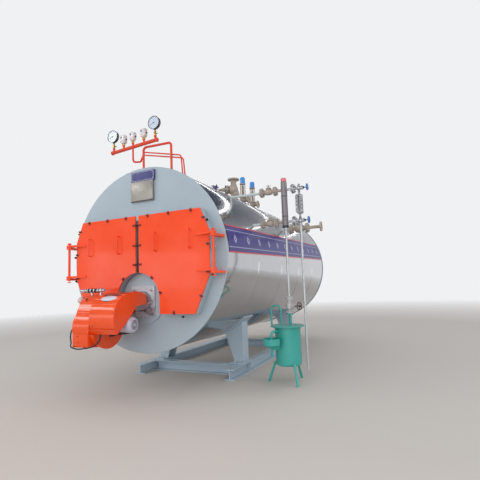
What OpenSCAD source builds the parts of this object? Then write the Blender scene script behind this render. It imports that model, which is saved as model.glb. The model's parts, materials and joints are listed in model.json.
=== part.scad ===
// Horizontal fire-tube boiler with its burner, mountings, level gauge and sampling vessel.
// The origin is on the floor under the middle of the front cross beam, and +Y runs to the rear.

/* [Shell] */
// Height of the shell's axis above the floor
axis_h = 1464; // [1440:2:1520]
// Outer radius of the polished cladding
clad_r = 1040; // [1020:5:1060]
// Thickness of the cladding, the lagging and the shell plate together
wall_t = 120; // [90:5:160]
// Length of the shell between its end plates
shell_len = 4525; // [4300:25:5000]
// Distance of the front plate's outer face ahead of the front cross beam
front_overhang = 1045; // [1000:5:1080]
// How far the end plates stand proud of the cladding
plate_lip = 10; // [6:1:20]
// Thickness of the end plates
plate_t = 12; // [8:1:20]
// Width of a lap seam on the cladding
seam_w = 40; // [20:5:60]
// Height of a lap seam on the cladding
seam_t = 2; // [1:0.5:4]

/* [Base] */
// Width of the H beams
beam_w = 125; // [110:5:140]
// Height of the H beams
beam_h = 125; // [110:5:140]
// Thickness of a beam's flanges
beam_flange = 9; // [7:1:12]
// Thickness of a beam's web
beam_web = 7; // [6:1:12]
// Distance of each rail's middle from the centre line
rail_x = 662; // [650:2:680]
// Length of the rails ahead of the front cross beam's middle
rail_front = 327; // [200:10:380]
// Length of the rails
rail_len = 3112; // [2900:20:3400]
// Distance between the cross beams
cross_pitch = 2148; // [2000:20:2160]
// Distance between the saddles
saddle_pitch = 2115; // [2000:20:2160]
// Distance of the front saddle's front web behind the cross beam's middle
saddle_y = 120; // [100:5:160]
// Depth of a saddle along the shell
saddle_depth = 182; // [150:5:220]
// Thickness of the saddle's plates
saddle_t = 10; // [8:1:16]
// Thickness of the pad plate between saddle and cladding
pad_t = 10; // [6:1:14]

/* [Doors] */
// Gap between the two doors
door_gap = 46; // [30:2:60]
// Height of the doors' top edge above the axis
door_top = 469; // [440:5:500]
// Half width of the doors' top edge
door_top_x = 807; // [780:5:820]
// Half width of the doors at their widest
door_wide_x = 907; // [895:2:915]
// Depth of the doors' bottom edge under the axis
door_low = 609; // [590:5:630]
// Half width of the doors' bottom edge
door_low_x = 724; // [700:5:760]
// Thickness of a door leaf
leaf_t = 16; // [10:1:24]
// Depth of the raised door frame
frame_depth = 104; // [80:2:120]
// Width of the door frame's bars
frame_w = 42; // [30:2:60]
// Radius of the arch over the burner plate
arch_r = 289; // [285:1:300]
// Depth of the burner's axis under the shell's axis
burner_drop = 450; // [430:5:470]
// Diameter of the doors' hinge pins
pin_d = 28; // [20:1:34]
// Distance of a hinge pin from the centre line
hinge_x = 978; // [970:2:990]
// Distance of a hinge pin ahead of the front plate
hinge_out = 165; // [160:1:180]
// Distance from one hinge arm to the other
hinge_pitch = 368; // [300:10:400]
// Thickness of the hinge arms and brackets
arm_t = 24; // [16:1:26]
// Length of a door handle between its feet
handle_len = 198; // [160:5:240]
// Diameter of the handle bar
handle_d = 14; // [10:1:18]
// How far a handle stands off its door
handle_out = 40; // [30:2:60]

/* [Smokebox] */
// Depth of the tube plate behind the front plate
tube_plate_depth = 480; // [400:10:600]
// Thickness of the tube plate
tube_plate_t = 16; // [12:1:24]
// Bore of the fire tubes
tube_bore = 57; // [48:1:64]
// Distance between neighbouring fire tubes
tube_pitch = 118; // [112:1:130]
// Outer radius of the furnace mouth
mouth_r = 262; // [240:2:280]

/* [Burner] */
// Diameter of the burner's blast tube
blast_d = 220; // [180:5:260]
// Width of the burner's mounting flange
flange_w = 310; // [290:5:330]
// Height of the burner's mounting flange
flange_h = 335; // [310:5:350]
// Right side of the hood, measured from the centre line
hood_x = 90; // [70:5:110]
// Width of the hood
hood_w = 325; // [300:5:340]
// Width of the fan casing
fan_w = 230; // [200:5:250]
// Radius of the fan casing's round part
fan_r = 215; // [200:5:220]
// Diameter of the fan motor
motor_d = 168; // [140:2:176]

/* [Valves] */
// Diameter of the main steam flanges
steam_flange_d = 200; // [190:5:220]
// Bolt circle of the main steam flanges
steam_pcd = 160; // [150:2:164]
// Outer diameter of the main steam pipe
steam_pipe_d = 89; // [76:1:108]
// Diameter of the feed line's flanges
feed_flange_d = 150; // [140:5:165]
// Bolt circle of the feed line's flanges
feed_pcd = 110; // [100:2:116]
// Outer diameter of the feed pipe
feed_pipe_d = 48; // [42:1:60]
// Diameter of the small flanges at the level gauge
small_flange_d = 115; // [100:5:120]
// Outer diameter of the pipes to the level gauge
level_pipe_d = 34; // [26:1:42]
// Diameter of the bolt holes in the flanges
bolt_hole = 18; // [14:1:18]

/* [Level gauge] */
// Distance of the level gauge behind the front plate
level_y = 957; // [900:5:1000]
// Height of the steam side above the axis
level_hi = 805; // [780:5:820]
// Height of the water side above the axis
level_lo = 408; // [390:5:430]
// Distance of the column from the centre line
column_x = 1380; // [1360:5:1400]
// Diameter of the column
column_d = 76; // [60:2:90]
// Distance of the gauge glass from the centre line
gauge_x = 1568; // [1550:5:1590]
// Diameter of the small handwheels
wheel_d = 86; // [70:2:100]

/* [Sampling vessel] */
// Diameter of the vessel's drum
drum_d = 298; // [280:5:320]
// Height of the drum
drum_h = 440; // [400:10:480]
// Height of the drum's underside above the floor
drum_low = 190; // [160:5:230]
// Diameter of the vessel's lid
lid_d = 396; // [370:5:420]
// Thickness of the vessel's lid
lid_t = 12; // [8:1:18]

/* [Hidden] */
$fn = 64;

plate_y = -front_overhang;
rear_y = plate_y + plate_t + shell_len;
plate_r = clad_r + plate_lip;
shell_in_r = clad_r - wall_t;
eps = 0.01;
seat = 0.3;
elbow_swell = 0.5;
lap = 1;

stainless = [0.80, 0.82, 0.84];
pale_grey = [0.67, 0.72, 0.75];
door_red = [0.96, 0.29, 0.11];
burner_orange = [0.91, 0.38, 0.12];
pipe_orange = [0.88, 0.33, 0.22];
cast_grey = [0.66, 0.62, 0.57];
teal = [0.18, 0.68, 0.62];
wheel_blue = [0.16, 0.47, 0.74];
dark_grey = [0.28, 0.29, 0.31];
silver = [0.75, 0.76, 0.78];
drain_grey = [0.78, 0.80, 0.80];
black = [0.08, 0.08, 0.09];
brass = [0.78, 0.62, 0.30];
sheet_blue = [0.12, 0.12, 0.42];

// Vectors and frames
function unit(v) = v / norm(v);
function side_of(u) = abs(u[2]) < 0.9 ? unit(cross(u, [0, 0, 1])) : unit(cross(u, [0, 1, 0]));
function frame_to(u, p) = let(x = side_of(u), y = cross(u, x))
    [[x[0], y[0], u[0], p[0]], [x[1], y[1], u[1], p[1]], [x[2], y[2], u[2], p[2]], [0, 0, 0, 1]];

// Convex outline moved inwards by d, its points taken anticlockwise
function inset(pts, d) = let(n = len(pts)) [for (i = [0:n - 1])
    let(u = unit(pts[i] - pts[(i + n - 1) % n]), v = unit(pts[(i + 1) % n] - pts[i]),
        a = [-u[1], u[0]], b = [-v[1], v[0]]) pts[i] + (a + b) * d / (1 + a * b)];

// Places a child whose own +Z axis then points along u from p
module along(p, u) {
    multmatrix(frame_to(unit(u), p)) children();
}

// Places a child by its distance right of, behind and above the middle of the front plate
module on_plate(x, back, up) {
    translate([x, plate_y + back, axis_h + up]) children();
}

// Extrudes an outline drawn as seen from the front, from one distance ahead of the plate to another
module outward(from, to) {
    on_plate(0, -from, 0) rotate([90, 0, 0]) linear_extrude(to - from) children();
}

module disc(p, u, r, t) {
    along(p, u) cylinder(r = r, h = t);
}

module bar(a, b, r) {
    along(a, b - a) cylinder(r = r, h = norm(b - a));
}

// A quarter or part bend in a pipe, at corner b between directions u and v
module bend(b, u, v, r, bend_r) {
    angle = acos(min(1, max(-1, u * v)));
    reach = bend_r * tan(angle / 2);
    n = unit(v - (v * u) * u);
    c = b - u * reach + n * bend_r;
    z = cross(-n, u);
    multmatrix([[-n[0], u[0], z[0], c[0]], [-n[1], u[1], z[1], c[1]], [-n[2], u[2], z[2], c[2]],
                [0, 0, 0, 1]])
        rotate_extrude(angle = angle) translate([bend_r, 0]) circle(r + elbow_swell, $fn = 24);
}

// A pipe along points, with the same bend radius at each corner
module bent_pipe(pts, r, bend_r) {
    n = len(pts);
    dirs = [for (i = [0:n - 2]) unit(pts[i + 1] - pts[i])];
    cut = [for (i = [0:n - 1]) i == 0 || i == n - 1 ? 0
        : bend_r * tan(acos(min(1, max(-1, dirs[i - 1] * dirs[i]))) / 2)];
    union() {
        for (i = [0:n - 2]) bar(pts[i] + dirs[i] * (cut[i] - (i > 0 ? lap : 0)),
                                pts[i + 1] - dirs[i] * (cut[i + 1] - (i < n - 2 ? lap : 0)), r);
        for (i = [1:1:n - 2]) bend(pts[i], dirs[i - 1], dirs[i], r, bend_r);
    }
}

// A strip of even width beside a line of points
function beside(pts, d) = let(n = len(pts)) [for (i = [0:n - 1])
    let(u = unit(pts[min(i + 1, n - 1)] - pts[max(i - 1, 0)])) pts[i] + d * [-u[1], u[0]]];
function strip(pts, d) = let(q = beside(pts, d), n = len(pts))
    concat(pts, [for (i = [n - 1:-1:0]) q[i]]);

// A body turned about its own axis, from radius and height pairs
module turned(profile) {
    rotate_extrude($fn = 64) polygon(profile);
}

// Leaves out of a child what the cladding takes up, with the seat's clearance
module off_shell() {
    difference() {
        children();
        translate([0, plate_y - 1, axis_h]) rotate([-90, 0, 0])
            cylinder(r = clad_r + seat, h = shell_len + 2 * plate_t, $fn = 180);
    }
}

// Base frame
module h_section() {
    difference() {
        translate([-beam_w / 2, 0]) square([beam_w, beam_h]);
        for (s = [0, 1]) mirror([s, 0]) translate([beam_web / 2, beam_flange])
            square([beam_w, beam_h - 2 * beam_flange]);
    }
}

module stiffeners(x, y) {
    for (s = [-1, 1]) translate([x + s * (beam_w / 2 - 3) / 2, y, beam_h / 2])
        cube([beam_w / 2 - 3, 10, beam_h - 2 * beam_flange + 2 * eps], center = true);
}

module base_rails() {
    color(pale_grey) for (s = [-1, 1]) {
        translate([s * rail_x, rail_len - rail_front, 0]) rotate([90, 0, 0])
            linear_extrude(rail_len) h_section();
        for (k = [0, 1]) stiffeners(s * rail_x, saddle_y + saddle_depth / 2 + k * saddle_pitch);
    }
}

cross_half = rail_x - beam_w / 2;

module base_cross_beams() {
    color(pale_grey) for (y = [0, cross_pitch]) translate([-cross_half, y, 0]) rotate([90, 0, 90])
        linear_extrude(2 * cross_half) h_section();
}

// Saddles
foot_in = 528;
leg_top_in = 401;
leg_out = 652;
foot_ahead = 111;
pad_ahead = 104;
pad_behind = 30;

module saddle_leg() {
    in_reach = leg_top_in - 60;
    profile = [[foot_in, beam_h + pad_t], [leg_out, beam_h + pad_t], [leg_out, axis_h - 700],
               [in_reach, axis_h - 700], [in_reach, axis_h - 860], [leg_top_in, axis_h - 965]];
    difference() {
        union() {
            for (y = [0, saddle_depth - saddle_t]) translate([0, y + saddle_t, 0]) rotate([90, 0, 0])
                linear_extrude(saddle_t) polygon(profile);
            translate([leg_out - saddle_t, 0, beam_h + pad_t])
                cube([saddle_t, saddle_depth, axis_h - 700 - beam_h - pad_t]);
            translate([foot_in - 20, -foot_ahead, beam_h]) cube([leg_out - foot_in + 60, saddle_depth
                + foot_ahead + 20, pad_t]);
        }
        translate([0, -foot_ahead - 1, axis_h]) rotate([-90, 0, 0])
            cylinder(r = clad_r + pad_t / 2, h = saddle_depth + 2 * foot_ahead, $fn = 180);
    }
}

module saddle(y) {
    half = 725;
    translate([0, y, 0]) {
        for (s = [0, 1]) mirror([s, 0, 0]) saddle_leg();
        intersection() {
            translate([0, -pad_ahead, axis_h]) rotate([-90, 0, 0]) difference() {
                cylinder(r = clad_r + pad_t, h = saddle_depth + pad_ahead + pad_behind, $fn = 180);
                translate([0, 0, -1]) cylinder(r = clad_r, h = saddle_depth + pad_ahead + pad_behind + 2,
                    $fn = 180);
            }
            translate([-half, -pad_ahead - 1, 0]) cube([2 * half, saddle_depth + pad_ahead + pad_behind + 2,
                axis_h - 500]);
        }
    }
}

module saddle_front() {
    color(pale_grey) saddle(saddle_y);
}

module saddle_rear() {
    color(pale_grey) saddle(saddle_y + saddle_pitch);
}

// Shell and ends
seam_count = 4;

module shell() {
    pitch = shell_len / (seam_count + 1);
    profile = concat([[shell_in_r, 0], [clad_r, 0]],
        [for (i = [1:seam_count]) for (q = [[0, -seam_w / 2], [seam_t, -seam_w / 2], [seam_t, seam_w / 2],
            [0, seam_w / 2]]) [clad_r + q[0], i * pitch + q[1]]],
        [[clad_r, shell_len], [shell_in_r, shell_len]]);
    color(stainless) translate([0, plate_y + plate_t, axis_h]) rotate([-90, 0, 0])
        rotate_extrude($fn = 180) polygon(profile);
}

// The doors' whole outline on one side of the centre line, seen from the front
door_pts = [[door_gap / 2, -door_low], [door_low_x, -door_low], [door_wide_x, -200],
            [door_wide_x - 2, 235], [door_top_x, door_top], [door_gap / 2, door_top]];
frame_pts = [[0, -door_low], [door_low_x, -door_low], [door_wide_x, -200], [door_wide_x - 2, 235],
             [door_top_x, door_top], [0, door_top]];

module arch(extra) {
    translate([0, -burner_drop]) circle(arch_r + extra, $fn = 120);
    translate([-arch_r - extra, -door_low - 50]) square([2 * (arch_r + extra), door_low + 50 - burner_drop]);
}

module smokebox_window() {
    for (s = [0, 1]) mirror([s, 0]) difference() {
        intersection() {
            polygon(inset(door_pts, frame_w));
            circle(shell_in_r - 20, $fn = 180);
        }
        arch(frame_w);
    }
}

module front_plate() {
    edge = 5;
    color(pale_grey) difference() {
        translate([0, plate_y, axis_h]) rotate([-90, 0, 0]) rotate_extrude($fn = 180)
            polygon([[0, 0], [plate_r - edge, 0], [plate_r, edge], [plate_r, plate_t], [0, plate_t]]);
        outward(-plate_t - 1, 1) smokebox_window();
        outward(-plate_t - 1, 1) translate([head_x, head_z]) circle(blast_d / 2 + blast_gap, $fn = 96);
    }
}

module door_frame() {
    color(pale_grey) outward(0, frame_depth - seat) difference() {
        for (s = [0, 1]) mirror([s, 0]) difference() {
            polygon(frame_pts);
            arch(8);
        }
        smokebox_window();
    }
}

tube_first_x = 97;
tube_low = -130;
tube_rows = 7;

module tube_plate() {
    row_h = tube_pitch * sqrt(3) / 2;
    color(dark_grey) difference() {
        translate([0, plate_y + plate_t + tube_plate_depth, axis_h]) rotate([-90, 0, 0])
            cylinder(r = shell_in_r - seat, h = tube_plate_t, $fn = 180);
        for (i = [0:tube_rows - 1], s = [-1, 1], k = [0:5])
            on_plate(s * (tube_first_x + (i % 2) * tube_pitch / 2 + k * tube_pitch),
                     plate_t + tube_plate_depth - 1, tube_low + i * row_h)
                rotate([-90, 0, 0]) cylinder(d = tube_bore, h = tube_plate_t + 2, $fn = 32);
        on_plate(0, plate_t + tube_plate_depth - 1, -burner_drop) rotate([-90, 0, 0])
            cylinder(r = mouth_r - 40, h = tube_plate_t + 2, $fn = 96);
    }
}

module furnace_mouth() {
    color(dark_grey) on_plate(0, plate_t, -burner_drop) rotate([-90, 0, 0]) difference() {
        cylinder(r = mouth_r, h = tube_plate_depth, $fn = 96);
        translate([0, 0, -1]) cylinder(r = mouth_r - 40, h = tube_plate_depth + 2, $fn = 96);
    }
}

flue_d = 350;
flue_up = 560;

module rear_plate() {
    edge = 5;
    color(pale_grey) difference() {
        translate([0, rear_y, axis_h]) rotate([-90, 0, 0]) rotate_extrude($fn = 180)
            polygon([[0, 0], [plate_r, 0], [plate_r, plate_t - edge], [plate_r - edge, plate_t],
                     [0, plate_t]]);
        translate([0, rear_y - 1, axis_h + flue_up]) rotate([-90, 0, 0])
            cylinder(d = flue_d, h = plate_t + 2, $fn = 96);
    }
}

module flue_outlet() {
    flange_d = flue_d + 90;
    holes = 12;
    color(pale_grey) translate([0, rear_y + plate_t, axis_h + flue_up]) rotate([-90, 0, 0]) difference() {
        union() {
            cylinder(d = flue_d + 12, h = 110, $fn = 96);
            translate([0, 0, 100]) cylinder(d = flange_d, h = 10, $fn = 96);
        }
        translate([0, 0, -1]) cylinder(d = flue_d, h = 120, $fn = 96);
        for (i = [0:holes - 1]) rotate([0, 0, (i + 0.5) * 360 / holes]) translate([(flue_d + flange_d) / 4
            + 5, 0, 90]) cylinder(d = 14, h = 30, $fn = 24);
    }
}

module rear_access_cover() {
    color(pale_grey) translate([0, rear_y + plate_t, axis_h - burner_drop]) rotate([-90, 0, 0]) {
        cylinder(d = 620, h = 16, $fn = 96);
        cylinder(d = 540, h = 30, $fn = 96);
    }
}

// Doors, hinges and handles
handle_bend = 18;

module door_handle(x, z) {
    face = plate_y - frame_depth - leaf_t;
    low = axis_h + z - handle_len / 2;
    high = axis_h + z + handle_len / 2;
    bent_pipe([[x, face + 1, low], [x, face - handle_out, low], [x, face - handle_out, high],
        [x, face + 1, high]], handle_d / 2, handle_bend);
}

module door_leaf() {
    outward(frame_depth, frame_depth + leaf_t) difference() {
        polygon(door_pts);
        arch(0);
    }
    for (x = [250, 680]) door_handle(x, 161);
}

module door_right() {
    color(door_red) door_leaf();
}

module door_left() {
    color(door_red) mirror([1, 0, 0]) door_leaf();
}

arm_z = [-hinge_pitch / 2 + 12, hinge_pitch / 2 + 12];
eye_r = 32;
arm_gap = 1;
pin_fit = 0.08;

module hinge_arm(z) {
    face = -frame_depth - leaf_t;
    on_plate(0, 0, z - arm_t / 2) difference() {
        union() {
            linear_extrude(arm_t) polygon([[745, face], [745, face - 8], [hinge_x, -hinge_out - 26],
                [hinge_x, -hinge_out + 20], [hinge_x - 80, face - 1], [hinge_x - 80, face]]);
            translate([hinge_x, -hinge_out, 0]) cylinder(r = eye_r, h = arm_t, $fn = 48);
        }
        translate([hinge_x, -hinge_out, -1]) cylinder(r = pin_d / 2 + pin_fit, h = arm_t + 2, $fn = 48);
    }
}

module hinge_arms_right() {
    color(door_red) for (z = arm_z) hinge_arm(z);
}

module hinge_arms_left() {
    color(door_red) mirror([1, 0, 0]) for (z = arm_z) hinge_arm(z);
}

module hinge_bracket_set() {
    for (z = arm_z) on_plate(0, 0, z - arm_t * 1.5 - arm_gap) {
        translate([hinge_x, -hinge_out, 0]) cylinder(r = eye_r, h = arm_t, $fn = 48);
        linear_extrude(arm_t) polygon([[hinge_x - 20, -hinge_out], [hinge_x + 26, -hinge_out],
            [hinge_x + 48, 0], [hinge_x - 30, 0]]);
    }
    on_plate(hinge_x, -hinge_out, arm_z[0] - 2 * arm_t) cylinder(d = pin_d, h = arm_z[1] - arm_z[0]
        + 3 * arm_t, $fn = 48);
}

module hinge_brackets() {
    color(door_red) for (s = [0, 1]) mirror([s, 0, 0]) hinge_bracket_set();
}

// Burner
plate_out = 20;
flange_t = 20;
head_x = 10;
head_z = -475;
blast_gap = 4;

module burner_plate() {
    color(pale_grey) outward(0, plate_out) difference() {
        translate([0, -burner_drop]) circle(arch_r - 6, $fn = 120);
        translate([head_x, head_z]) circle(blast_d / 2 + blast_gap, $fn = 96);
    }
}

module burner_flange() {
    color(silver) outward(plate_out, plate_out + flange_t) difference() {
        translate([head_x - flange_w / 2, head_z - flange_h / 2]) square([flange_w, flange_h]);
        translate([head_x, head_z]) circle(blast_d / 2 + 0.5, $fn = 96);
        for (sx = [-1, 1], sz = [-1, 1]) translate([head_x + sx * (flange_w / 2 - 38),
            head_z + sz * (flange_h / 2 - 42)]) rotate(sx * sz * 45) {
            square([32, 14], center = true);
            for (e = [-16, 16]) translate([e, 0]) circle(7, $fn = 24);
        }
    }
}

neck_x = [-75, 84];
neck_out = [plate_out + flange_t, 290];

module burner_neck() {
    low = head_z - 88;
    high = head_z + 60;
    color(silver) {
        on_plate(head_x, 120, head_z) rotate([90, 0, 0]) difference() {
            cylinder(d = blast_d, h = 120 + neck_out[0] + 30, $fn = 96);
            translate([0, 0, -1]) cylinder(d = blast_d - 16, h = 120, $fn = 96);
        }
        outward(neck_out[0], neck_out[0] + 36) translate([neck_x[0], low])
            square([neck_x[1] - neck_x[0], high - low]);
        on_plate(neck_x[0], 0, 0) rotate([90, 0, 90]) linear_extrude(neck_x[1] - neck_x[0])
            polygon([[-neck_out[0] - 30, low], [-neck_out[0] - 30, -507 - seat], [-172, -507 - seat],
                     [-205, -510 - seat], [-258, -518 - seat], [-258, low]]);
    }
}

// The hood's side outline: distance ahead of the plate, height above the axis
hood_side = [[84, -505], [84, -414], [148, -384], [205, -370], [262, -366], [315, -368], [367, -378],
             [420, -394], [467, -418], [508, -448], [541, -486], [564, -530], [577, -580], [580, -640],
             [570, -700], [541, -771], [419, -677], [315, -578], [258, -518], [205, -510], [172, -507]];

hood_lip = [[575, -722], [541, -771], [419, -677], [315, -578], [270, -531]];
lip_t = 5;
cheek_t = 5;
cheek_edge = 3;

module side_outline(pts, x, w) {
    on_plate(x, 0, 0) rotate([90, 0, 90]) linear_extrude(w) polygon([for (p = pts) [-p[0], p[1]]]);
}

module burner_hood() {
    color(burner_orange) {
        side_outline(hood_side, hood_x - hood_w, hood_w);
        on_plate(hood_x - cheek_t, 0, 0) rotate([90, 0, 90]) linear_extrude(cheek_t)
            offset(delta = cheek_edge) polygon([for (q = hood_side) [-q[0], q[1]]]);
        side_outline(strip(hood_lip, lip_t), hood_x - hood_w, hood_w + lip_t);
    }
    low = cable_route[len(cable_route) - 1][2];
    color(black) translate([cable_ends[1][0], plate_y + cable_ends[1][1], axis_h + low])
        cylinder(r = gland_r, h = cable_ends[1][2] - low, $fn = 32);
}

fan_out = 365;
fan_z = -715;
fan_left = hood_x - hood_w - fan_w;
rim_t = 8;
rim_out = 12;
intake_r = 112;
intake_depth = 14;
intake_pitch = 28;
fan_front = [[180, -470], [230, -412], [290, -388], [357, -392], [420, -416], [470, -460], [520, -560],
             [556, -680], [570, -780], [568, -905], [350, -920], [200, -800]];

module burner_fan_casing() {
    color(burner_orange) difference() {
        union() {
            side_outline(fan_front, fan_left, fan_w - seat);
            on_plate(fan_left, -fan_out, fan_z) rotate([0, 90, 0]) {
                cylinder(r = fan_r, h = fan_w + 60, $fn = 96);
                translate([0, 0, fan_w + 60 - rim_t]) cylinder(r = fan_r + rim_out, h = rim_t, $fn = 96);
            }
            side_outline([for (p = fan_front) [p[0] > 300 ? p[0] + 14 : p[0], p[1]]],
                fan_left + fan_w - 20, 12);
            bar([cable_ends[0][0] + 5, plate_y + cable_ends[0][1], axis_h + cable_ends[0][2]],
                [cable_route[0][0], plate_y + cable_ends[0][1], axis_h + cable_ends[0][2]], gland_r);
        }
        side_outline([[60, -500], [84, -300], [700, -300], [700, -771], [541 + seat, -771 - 5],
            [419, -677 - 5], [315, -578 - 5], [258, -518 - 5], [172, -507 - 5]], hood_x - hood_w - seat, 400);
        side_outline(strip(hood_lip, lip_t + seat), hood_x - hood_w - seat, 400);
        difference() {
            on_plate(fan_left - 1, -fan_out, fan_z) rotate([0, 90, 0])
                cylinder(r = intake_r, h = intake_depth + 1, $fn = 96);
            for (k = [-3:3]) on_plate(fan_left - 2, -fan_out - intake_r - 2, fan_z + k * intake_pitch - 3)
                cube([intake_depth + 3, 2 * intake_r + 4, 6]);
        }
    }
}

motor_out = 315;
motor_z = -701;
motor_fins = 20;
bracket_t = 8;
bracket_len = 210;

module burner_motor() {
    r = motor_d / 2;
    start = fan_left + fan_w + 60;
    color([0.70, 0.70, 0.76]) on_plate(start, -motor_out, motor_z) rotate([0, 90, 0]) {
        turned([[0, 0], [r - 4, 0], [r - 4, 12], [r - 12, 14], [r - 12, 150], [r - 2, 152], [r, 158],
            [r, 250], [r - 3, 266], [r - 10, 280], [r - 20, 290], [r - 32, 294], [r - 36, 294], [r - 36, 286],
            [r - 44, 286], [r - 44, 292], [r - 50, 292], [r - 50, 286], [r - 58, 286], [r - 58, 292],
            [r - 64, 292], [r - 64, 286], [14, 286], [14, 293], [0, 293]]);
        for (i = [0:motor_fins - 1]) rotate([0, 0, (i + 0.5) * 360 / motor_fins])
            translate([r - 16, -2, 6]) cube([10, 4, 150]);
    }
}

// The bracket under the motor, from the fan casing's face
module motor_bracket() {
    start = fan_left + fan_w + 60;
    low = motor_z - motor_d / 2 - seat;
    color(black) on_plate(start + seat, -motor_out, low) {
        translate([0, -45, -bracket_t]) cube([bracket_len, 90, bracket_t]);
        translate([0, -45, -bracket_t - 30]) cube([bracket_t, 90, 32]);
        translate([0, bracket_t / 2, 0]) rotate([90, 0, 0]) linear_extrude(bracket_t)
            polygon([[0, -bracket_t - 30], [bracket_len - 20, -bracket_t], [0, -bracket_t]]);
    }
}

module burner_gas_fittings() {
    z = -340;
    left = -587;
    right = -247;
    color(silver) {
        bar([left, plate_y - 350, axis_h + z], [right, plate_y - 350, axis_h + z], 15);
        for (x = [left + 50:48:right - 30]) disc([x, plate_y - 350, axis_h + z], [1, 0, 0], 23, 20);
        for (x = [-425, -300]) bar([x, plate_y - 350, axis_h + z], [x, plate_y - 350, axis_h - 390.5], 12);
    }
}

// Rings of a round tube swept along points: p the points, r the radius, k the sides
function tangent(p, i) = unit(p[min(i + 1, len(p) - 1)] - p[max(i - 1, 0)]);
function ring(p, i, r, k) = let(u = tangent(p, i), a = unit(cross(u, [1, 0.2, 0])), b = cross(u, a))
    [for (j = [0:k - 1]) p[i] + r * (cos(360 * j / k) * a + sin(360 * j / k) * b)];

module swept_tube(p, r, k) {
    n = len(p);
    pts = [for (i = [0:n - 1]) each ring(p, i, r, k)];
    walls = [for (i = [0:n - 2], j = [0:k - 1])
        [i * k + j, i * k + (j + 1) % k, (i + 1) * k + (j + 1) % k, (i + 1) * k + j]];
    ends = [[for (j = [k - 1:-1:0]) j], [for (j = [0:k - 1]) (n - 1) * k + j]];
    polyhedron(pts, concat(walls, ends));
}

// Cable route: distance right of the centre line, behind the plate's face and above the axis
cable_route = [[-477, -500, -712], [-490, -500, -712], [-519, -500, -718], [-544, -501, -736],
               [-558, -505, -765], [-558, -512, -800], [-544, -523, -836], [-518, -541, -868],
               [-484, -576, -895], [-435, -592, -907], [-382, -600, -914], [-328, -602, -914],
               [-275, -602, -906], [-258, -598, -905], [-236, -590, -902], [-209, -574, -895],
               [-183, -554, -881], [-160, -536, -860], [-143, -525, -828], [-136, -520, -784],
               [-136, -520, -768]];
cable_ends = [[-465, -500, -712], [-136, -520, -735]];
cable_d = 14;
gland_r = 11;

module burner_cable() {
    color(black) swept_tube([for (q = cable_route) [q[0], plate_y + q[1], axis_h + q[2]]], cable_d / 2, 8);
}

// Nameplates
box_w = 310;
box_low = 655;
box_top = 886;
box_out = 30;

module data_plate_box() {
    color(silver) outward(0, box_out) translate([-box_w / 2, box_low]) square([box_w, box_top - box_low]);
}

module nameplate() {
    color(sheet_blue) outward(0, box_out) translate([-box_w / 2 + 6, box_top + 2]) square([box_w + 12, 116]);
}

// Gauge header
header_a = [-643, plate_y + 200, axis_h + 1403];
header_b = [132, plate_y + 100, axis_h + 1399];
header_r = 21.5;
function header_at(t) = header_a + (header_b - header_a) * t;
gauge_at = [0.04, 0.96];
switch_at = [0.27, 0.48, 0.72];
gauge_r = 80;
gauge_up = 145;
cock_h = 54;

module gauge_header() {
    color(pipe_orange) {
        bar(header_a, header_b, header_r);
        for (t = concat(gauge_at, switch_at)) translate(header_at(t))
            turned([[0, 0], [12, 0], [12, 40], [16, 42], [16, 60], [0, 60]]);
    }
}

post = [-110, plate_y + 150, axis_h + 1361];
pipe_r = 14;
riser_x = 290;

module header_pipework() {
    top = axis_h + clad_r;
    color(pipe_orange) off_shell() bent_pipe([[post[0], post[1], top - 20], post,
        [riser_x, post[1], post[2] - 10], [riser_x, post[1], axis_h + clad_x(riser_x) - 20]], pipe_r, 40);
}

module header_siphon() {
    a = header_at(0.48) - [0, 0, header_r];
    color(pipe_orange) difference() {
        bent_pipe([a + [0, 0, 12], a - [0, 0, 170], [post[0] - 60, post[1] + 20, axis_h + 1200],
            [post[0], post[1], axis_h + 1275]], 11, 36);
        bar(header_a, header_b, header_r + seat);
        bar(post - [0, 0, 300], post, pipe_r + seat);
    }
}

module impulse_tubes() {
    color(pipe_orange) off_shell() difference() {
        for (k = [0, 1]) bent_pipe([[post[0], post[1], post[2] - 56 - 36 * k],
            [400 + 30 * k, post[1] + 34, axis_h + 1190 - 40 * k],
            [425 + 30 * k, post[1] + 34, axis_h + 890]], 8, 40);
        bar(post - [0, 0, 300], post, pipe_r + seat);
    }
}

module pressure_gauges() {
    for (t = gauge_at) {
        p = header_at(t) + [0, 0, 60];
        color(dark_grey) {
            bar(p + [0, 0, cock_h + seat], p + [0, 0, gauge_up - gauge_r + 6], 9);
            along(p + [0, 14, gauge_up], [0, -1, 0]) turned([[0, 0], [gauge_r - 12, 0],
                [gauge_r - 4, 6], [gauge_r - 4, 34], [gauge_r, 37], [gauge_r, 46], [gauge_r - 5, 46],
                [gauge_r - 5, 40], [0, 40]]);
        }
    }
}

// The cocks between the header's stubs and the gauges
module gauge_cocks() {
    color(brass) for (t = gauge_at) translate(header_at(t) + [0, 0, 60]) {
        turned([[0, 0], [13, 0], [13, 10], [8, 12], [8, 20], [14, 23], [14, 35], [8, 38], [8, 42], [12, 44],
            [12, cock_h], [0, cock_h]]);
        translate([0, -18, 29]) rotate([-90, 0, 0]) cylinder(r = 10, h = 36, $fn = 48);
        translate([0, 10, 29]) rotate([-90, 0, 0]) cylinder(r = 7, h = 14, $fn = 48);
        translate([-20, 22, 26]) cube([40, 5, 6]);
    }
}

module chamfered(w, d, c) {
    polygon([[c - w, -d], [w - c, -d], [w, c - d], [w, d - c], [w - c, d], [c - w, d], [-w, d - c],
        [-w, c - d]]);
}

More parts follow.
